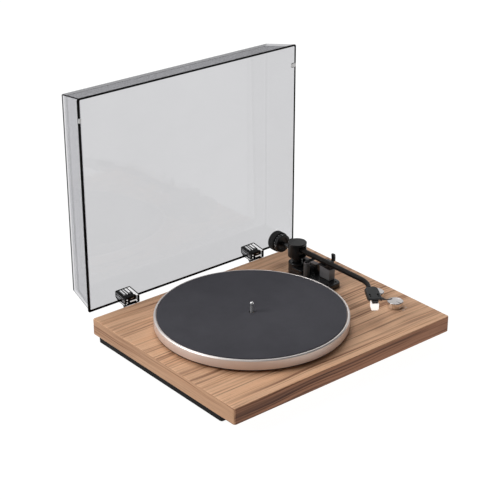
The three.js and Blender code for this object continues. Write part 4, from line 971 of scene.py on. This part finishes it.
def build_cover():
    low, high = box_mm("dust_cover")
    back = HINGE_AXIS.z - low.z
    rim = low.y - HINGE_AXIS.y
    depth = high.y - low.y
    half = (high.x - low.x) / 2
    front = back - (high.z - low.z)

    def section(height, shrink, r, lip=0):
        """The cover's outline at a height above its rim, moved inwards by one distance or by one a side."""
        lean = LID_LEAN * height
        by = shrink if isinstance(shrink, dict) else dict.fromkeys(BLACK, shrink)
        outline = rect(lean - LEFT_LEAN_LESS * height - half + by["left"] - LIP["left"] * lip,
                            half - lean - by["right"] + LIP["right"] * lip,
                            front + lean + TOP_LEAN_MORE * height + by["front"] - LIP["front"] * lip,
                            back - lean - by["hinge"] + LIP["hinge"] * lip, r, 8)
        return [(p.x, p.y, rim + height) for p in outline]

    def bend(height, shrink, round_off, steps, r):
        """A wall's turn into the lid."""
        return [section(height + round_off * sin(turn), shrink + round_off * (1 - cos(turn)), r)
                for turn in (pi / 2 * k / steps for k in range(1, steps + 1))]

    ceiling = depth - LID_WALL
    outer = [section(*ring) for ring in (
        (0, BLACK, 1.8), (0, 0.3, 3.4, 1), (0.3, 0, 3.6, 1), (LIP_DEPTH, 0, 3.6, 1),
        (LIP_DEPTH + 0.2, 0.2, 3.6, 1), (LIP_DEPTH + 0.3, 0, 1.8), (depth - 5.4, 0, 1.8),
        (depth - 1.5, 0, 1.8))] + bend(depth - 1.5, 0, 1.5, 6, 1.8) + [section(depth, 4.6, 1)]
    inner = [section(0, LID_WALL, 0.8), section(ceiling - 0.8, LID_WALL, 0.8)]
    inner += bend(ceiling - 0.8, LID_WALL, 0.8, 4, 0.8)
    cover = loft("cover_shell", inner[::-1] + outer, sharp=24)
    outside = depth * LID_LEAN + 7
    lid = rim + ceiling
    smoke = "smoke_acrylic"
    # each region of the cover takes a lighter or darker tint copy: painted light and shade, with near-black strips
    # along rounded edges as painted shade
    painted(cover, smoke,
            smoke + "_side", lambda c, n: abs(n.x) > 0.6 and c.x < 0,
            smoke + "_front", lambda c, n: abs(n.y) > 0.6 and c.y < front + 20,
            smoke + "_corner", lambda c, n: c.x < 0 and c.y < 0 and max(n.x, n.y) < -0.25 and abs(n.z) < 0.4,
            smoke + "_seam", lambda c, n: (
                c.x < 0 and c.y > front / 2 and min(-n.x, n.y) > 0.2 and abs(n.z) < 0.4),
            smoke + "_ring", lambda c, n: n.z > 0.25 and c.z > lid + 0.1 and c.y < front + outside,
            smoke + "_front", lambda c, n: n.z > 0.25 and c.z > lid + 0.1 and c.x < outside - half,
            smoke + "_seam", lambda c, n: n.x < -0.3 and n.z < 0.93 and c.z > rim + depth - 5.2,
            smoke + "_soft", lambda c, n: n.x > 0.2 and n.z > 0.1 and c.z > rim + depth - 1.6,
            smoke + "_clear", lambda c, n: abs(n.x) > 0.1 and -0.98 < n.z < -0.1 and lid - 0.85 < c.z < lid,
            "acrylic_edge", lambda c, n: c.z < rim + LIP_DEPTH + 0.35 and (
                c.x < BLACK["left"] - half + 0.01 or c.x > half - BLACK["right"] - 0.01 or
                c.y < front + BLACK["front"] + 0.01 or c.y > back - BLACK["hinge"] - 0.01))
    on_cover(cover, "acrylic", "dust_cover")

    for name, x0, x1 in (("left", -half - LIP["left"] - 0.2, 2.5 - half), ("right", half - 9.5, half - 0.6)):
        low, high = box_mm("cover_bumper_" + name)
        start, end = HINGE_AXIS.z - high.z + 1.4, HINGE_AXIS.z - low.z - 1.4
        stop = prism("stop", rect(x0, x1, start, end, 0.8), rim - 1.85, rim - 0.3, 0.4)
        parts = [painted(stop, "bumper_clear")]
        if name == "right":
            # the dark bars on the clear stop are painted shade for its edges
            for y in (start + 0.1, end - 0.1):
                parts.append(bar((x0 + 0.5, y, rim - 1.5), (x1, y, rim - 1.5), 0.7))
        on_cover(joined("cover_stop_" + name, *parts), "white_plastic", "cover_bumper_" + name)


def bar(start, end, thick, material="clip_edge"):
    """A slim straight rib of square section between two points."""
    along = Vector(end) - Vector(start)
    half = thick / 2
    rib = prism("rib", rect(-half, half, -half, half, 0.12, 2), 0, along.length, 0.1, steps=1)
    turned(rib, along.to_track_quat("Z", "Y").to_matrix().to_4x4())
    return painted(moved(rib, *start), material)


# ---- hinge clips and bases
CLIP_SHIFT = {"left": -1.6, "right": 0.5}       # how far each clip is set off its node's middle


def build_hinge_clips():
    """Each clip is a clear moulding whose edges and ribs are black, painted shade for the dark look that thick
    clear plastic has there.
    """
    for side, shift in CLIP_SHIFT.items():
        low, high = box_mm("hinge_clip_" + side)
        home = Vector(((low.x + high.x) / 2 + shift, HINGE_AXIS.y, HINGE_AXIS.z))
        half = 13.8
        near, far, base = -7.6, high.y - home.y, -2.7
        roof_near, roof_far = 10, high.z - home.z - 0.2
        edge = half - 0.6
        front, rear, foot = near + 0.7, far - 0.6, base + 0.4
        parts = []

        def pane(outline, x0, x1, round_off, material):
            piece = prism("pane", fillet(outline, 2), x0, x1, round_off, steps=1)
            parts.append(painted(turned(piece, UPRIGHT), material))

        # panes under the sloping roof: x from and to, y from and to, thickness, drop below the roof, and the clip
        # material; the glowing 'light' panes are painted light
        for x0, x1, y0, y1, thick, drop, shade_of in (
                (-8.6, 7.5, 4.4, far - 1, 1, 0.3, "pane"), (7.4, edge, near + 1, far - 1, 1, 0.3, "light"),
                (-edge - 0.5, -8.6, near + 0.3, far - 0.2, 1.6, 0, "edge"),
                (-6.6, -5, 5, far - 2.4, 1, 0.2, "light"), (-1.8, -0.6, 3, far - 2.4, 1, 0.2, "light"),
                (2.6, 5.8, 6, far - 2, 1, 0.2, "light"), (0, 1.5, 1, far - 0.8, 1.5, 0, "edge"),
                (6.2, 7.8, 1, far - 0.8, 1.5, 0, "edge"), (-4.2, -3.1, 2, far - 0.8, 1.4, 0.1, "edge")):
            z0, z1 = (roof_near + (roof_far - roof_near) * (y - near) / (far - near) - drop for y in (y0, y1))
            pane([(y0, z0 - thick, 0.2), (y1, z1 - thick, 0.2), (y1, z1, 0.2), (y0, z0, 0.2)],
                 x0, x1, 0.15, "clip_" + shade_of)
        for x in (-half + 0.5, half - 1.1):
            pane([(near + 0.4, foot), (near + 20, base + 1.6, 0.6), (far - 0.4, 4.4, 0.6),
                  (far - 0.4, roof_far - 0.6), (near + 0.4, roof_near - 0.6)], x, x + 0.6, 0.1, "clip_wall")
        # the dark ribs, black as painted shade: x, y, z from, x, y, z to, thickness
        for x0, y0, z0, x1, y1, z1, thick in (
                (-edge, far - 0.7, roof_far - 0.7, edge, far - 0.7, roof_far - 0.7, 1.7),
                (edge, front, roof_near - 0.7, edge, rear, roof_far - 0.7, 1.8),
                (edge - 0.5, near + 0.9, foot, edge - 0.5, near + 0.9, roof_near - 0.5, 2.3),
                (-edge, front, foot, -edge, front, roof_near - 0.5, 1.6),
                (-edge, front, base + 0.5, edge, front, base + 0.5, 1.8),
                (-edge, rear, 4.2, -edge, rear, roof_far - 0.6, 1.3),
                (edge, rear, 4.2, edge, rear, roof_far - 0.6, 1.3),
                (edge, near + 1, base + 0.5, edge, far - 4, 0.8, 1.4),
                (-edge, front, foot, -edge, near + 20, base + 1.8, 1.2),
                (-edge, front, base + 3.6, -edge, near + 22, base + 5, 1.6),
                (-edge, front, roof_near - 3.4, -edge, rear, roof_far - 3.9, 1),
                (-edge, near + 20, base + 1.8, -edge, rear, 4.4, 1.2)):
            parts.append(bar((x0, y0, z0), (x1, y1, z1), thick))
        knuckle = prism("knuckle", rect(-8, 9, near + 0.8, 5, 1.6, 6), 2.9, roof_near + 0.4, 1)
        sill = prism("sill", rect(-9, 9, near + 2.2, 4, 0.4), base + 0.6, 2, 0.2)
        # the knuckle and sill are black as painted shade, and the clip_light bars glow as painted highlights
        parts += [painted(knuckle, "clip_edge"), painted(sill, "clip_edge"),
                  bar((-3.4, near + 0.9, 2.2), (9.2, near + 0.9, 2.2), 1.5, "clip_light")]
        parts += [bar((-10.2, near + 0.6, z), (-8.8, near + 0.6, z), 1.6, "clip_light") for z in (1.9, 6.6)]
        parts += [bar((-half, near + 2.2, base + 2.1), (-half, near + 16, base + 3), 0.7, "clip_light"),
                  bar((-2.6, front, 6.9), (3.4, front, 7.4), 0.8, "steel")]
        whole = joined("hinge_clip_" + side + "_body", *parts)
        whole.location = ORIGIN + home * MM
        stands_for(whole, "acrylic", "hinge_clip_" + side)


def build_hinge_bases():
    """The metal tongue and back plate that carry a clip, and the pin they share."""
    y, z = HINGE_AXIS.y, HINGE_AXIS.z
    rear = PLINTH_BACK
    tongue = fillet([(rear + 0.4, -20, 1), (rear + 3, -20, 2), (y + 3.2, z - 3.2, 3), (y + 3.2, z + 3, 3),
                     (y - 3.2, z + 3, 3), (y - 3.4, z - 4.4, 1), (rear + 0.4, -11.5, 0.4)], 4)
    for side, shift in CLIP_SHIFT.items():
        low, high = box_mm("hinge_clip_" + side)
        x = (low.x + high.x) / 2 + shift
        plate = turned(prism("plate", rect(x - 13, x + 13, -24, -7, 2, 5), rear, rear + 1.8, 0.4), ALONG_Y_UP)
        arms = [turned(prism("arm", tongue, x + reach, x + reach + 1, 0.2), UPRIGHT) for reach in (-12, 9.8)]
        screws = [screw_head("hinge_screw", (x + reach, rear + 1.8, -18), 2.4, "steel", ALONG_Y)
                  for reach in (-7.5, 7.5)]
        parts = [painted(part, "black_metal") for part in (plate, *arms)]
        stands_for(joined("hinge_base_plate_" + side, *parts, *screws), "black_metal", "hinge_base_" + side)
        pin = lathe("hinge_pin_rod_" + side, [(0, -12.3), (1.9, -12.3, 0.4), (1.9, 11.3, 0.4), (0, 11.3)], 3,
                    (x, y, z), 32)
        stands_for(painted(turned(pin, ALONG_X), "steel"), "steel", "hinge_pin_" + side)


# ---- the rest of the CAD nodes
def finish_cad_nodes():
    """Nodes that keep their CAD shape get their finish and softened edges."""
    slots = {entry["node"]: entry["material_slot"] for entry in frame["record"]["subparts"]}
    for name, node in frame["nodes"].items():
        material = MATERIALS[FINISH.get(slots[name], slots[name])]
        if not node.material_slots:
            node.data.materials.append(material)
        for place in node.material_slots:
            place.material = material
        if node.hide_render:
            continue
        soften = node.modifiers.new("soften", "BEVEL")
        soften.width = 0.25 * MM
        soften.segments = 2
        soften.limit_method = "ANGLE"
        soften.angle_limit = radians(40)


# ---- studio and camera
def build_studio():
    mesh = bpy.data.meshes.new("studio_floor")
    reach = 60
    mesh.from_pydata([(-reach, -reach, 0), (reach, -reach, 0), (reach, reach, 0), (-reach, reach, 0)], [],
                     [(0, 1, 2, 3)])
    look = Look("studio_floor", (0.2, 0.2, 0.2), 0.9, Specular_IOR_Level=0.1, Emission_Color=WHITE,
                Emission_Strength=0.97)
    grain = look.noise(40, look.place())
    look.set(Base_Color=look.ramp(grain, (0.3, (0.095, 0.095, 0.095)), (0.7, (0.105, 0.105, 0.105))))
    ground = painted(new_object("studio_floor", mesh), "studio_floor")

    world = bpy.data.worlds.new("studio")
    world.use_nodes = True
    bpy.context.scene.world = world
    sky = Graph(world.node_tree)
    x, y, z = sky.node("SeparateXYZ", Vector=sky.node("TexCoord").outputs["Generated"]).outputs
    # brightest at the back and at the horizon, and a little brighter above and to the left
    strength = sky.plus(sky.plus(sky.times(z, 0.1), sky.times(x, -0.08)), sky.plus(sky.times(y, 0.52), 0.25))
    horizon = sky.math("SUBTRACT", 0.97, sky.times(sky.times(z, z), 50))
    sky.put(sky.tree.nodes["Background"], Color=WHITE,
            Strength=sky.math("MAXIMUM", strength, sky.math("MAXIMUM", horizon, 0.05)))

    for name, where, target, size, power in (
            ("key_left", (-3.4, 1.8, 2.6), (0, 0, 0.05), (2, 2), 88),
            ("overhead", (0.6, 1.6, 4), (0, 0, 0), (3, 2.4), 55)):
        lamp = bpy.data.lights.new(name, "AREA")
        lamp.shape = "RECTANGLE"
        lamp.size, lamp.size_y = size
        lamp.energy = power
        made = new_object(name, lamp)
        made.location = where
        made.rotation_euler = (Vector(target) - Vector(where)).to_track_quat("-Z", "Y").to_euler()

    scene = bpy.context.scene
    scene.view_settings.view_transform = "Standard"
    camera = bpy.data.cameras.new("camera")
    camera.lens = 102.4
    camera.clip_end = 50
    scene.camera = new_object("camera", camera)
    azimuth, elevation, distance = radians(-39.8), radians(25.17), 2.1
    look_at = Vector((-0.0538, -0.0508, 0.1817))
    back_to = Vector((sin(azimuth) * cos(elevation), -cos(azimuth) * cos(elevation), sin(elevation)))
    scene.camera.location = look_at + back_to * distance
    scene.camera.rotation_euler = (-back_to).to_track_quat("-Z", "Y").to_euler()


for build in (
        build_studio, build_plinth, build_feet, build_platter, build_knobs, build_arm_base, build_pillar,
        build_skate_dial, build_cue, build_rest, build_yoke, build_arm_tube, build_headshell,
        build_finger_lift, build_cartridge, build_counterweight, build_stub, build_cover, build_hinge_clips,
        build_hinge_bases, finish_cad_nodes):
    build()
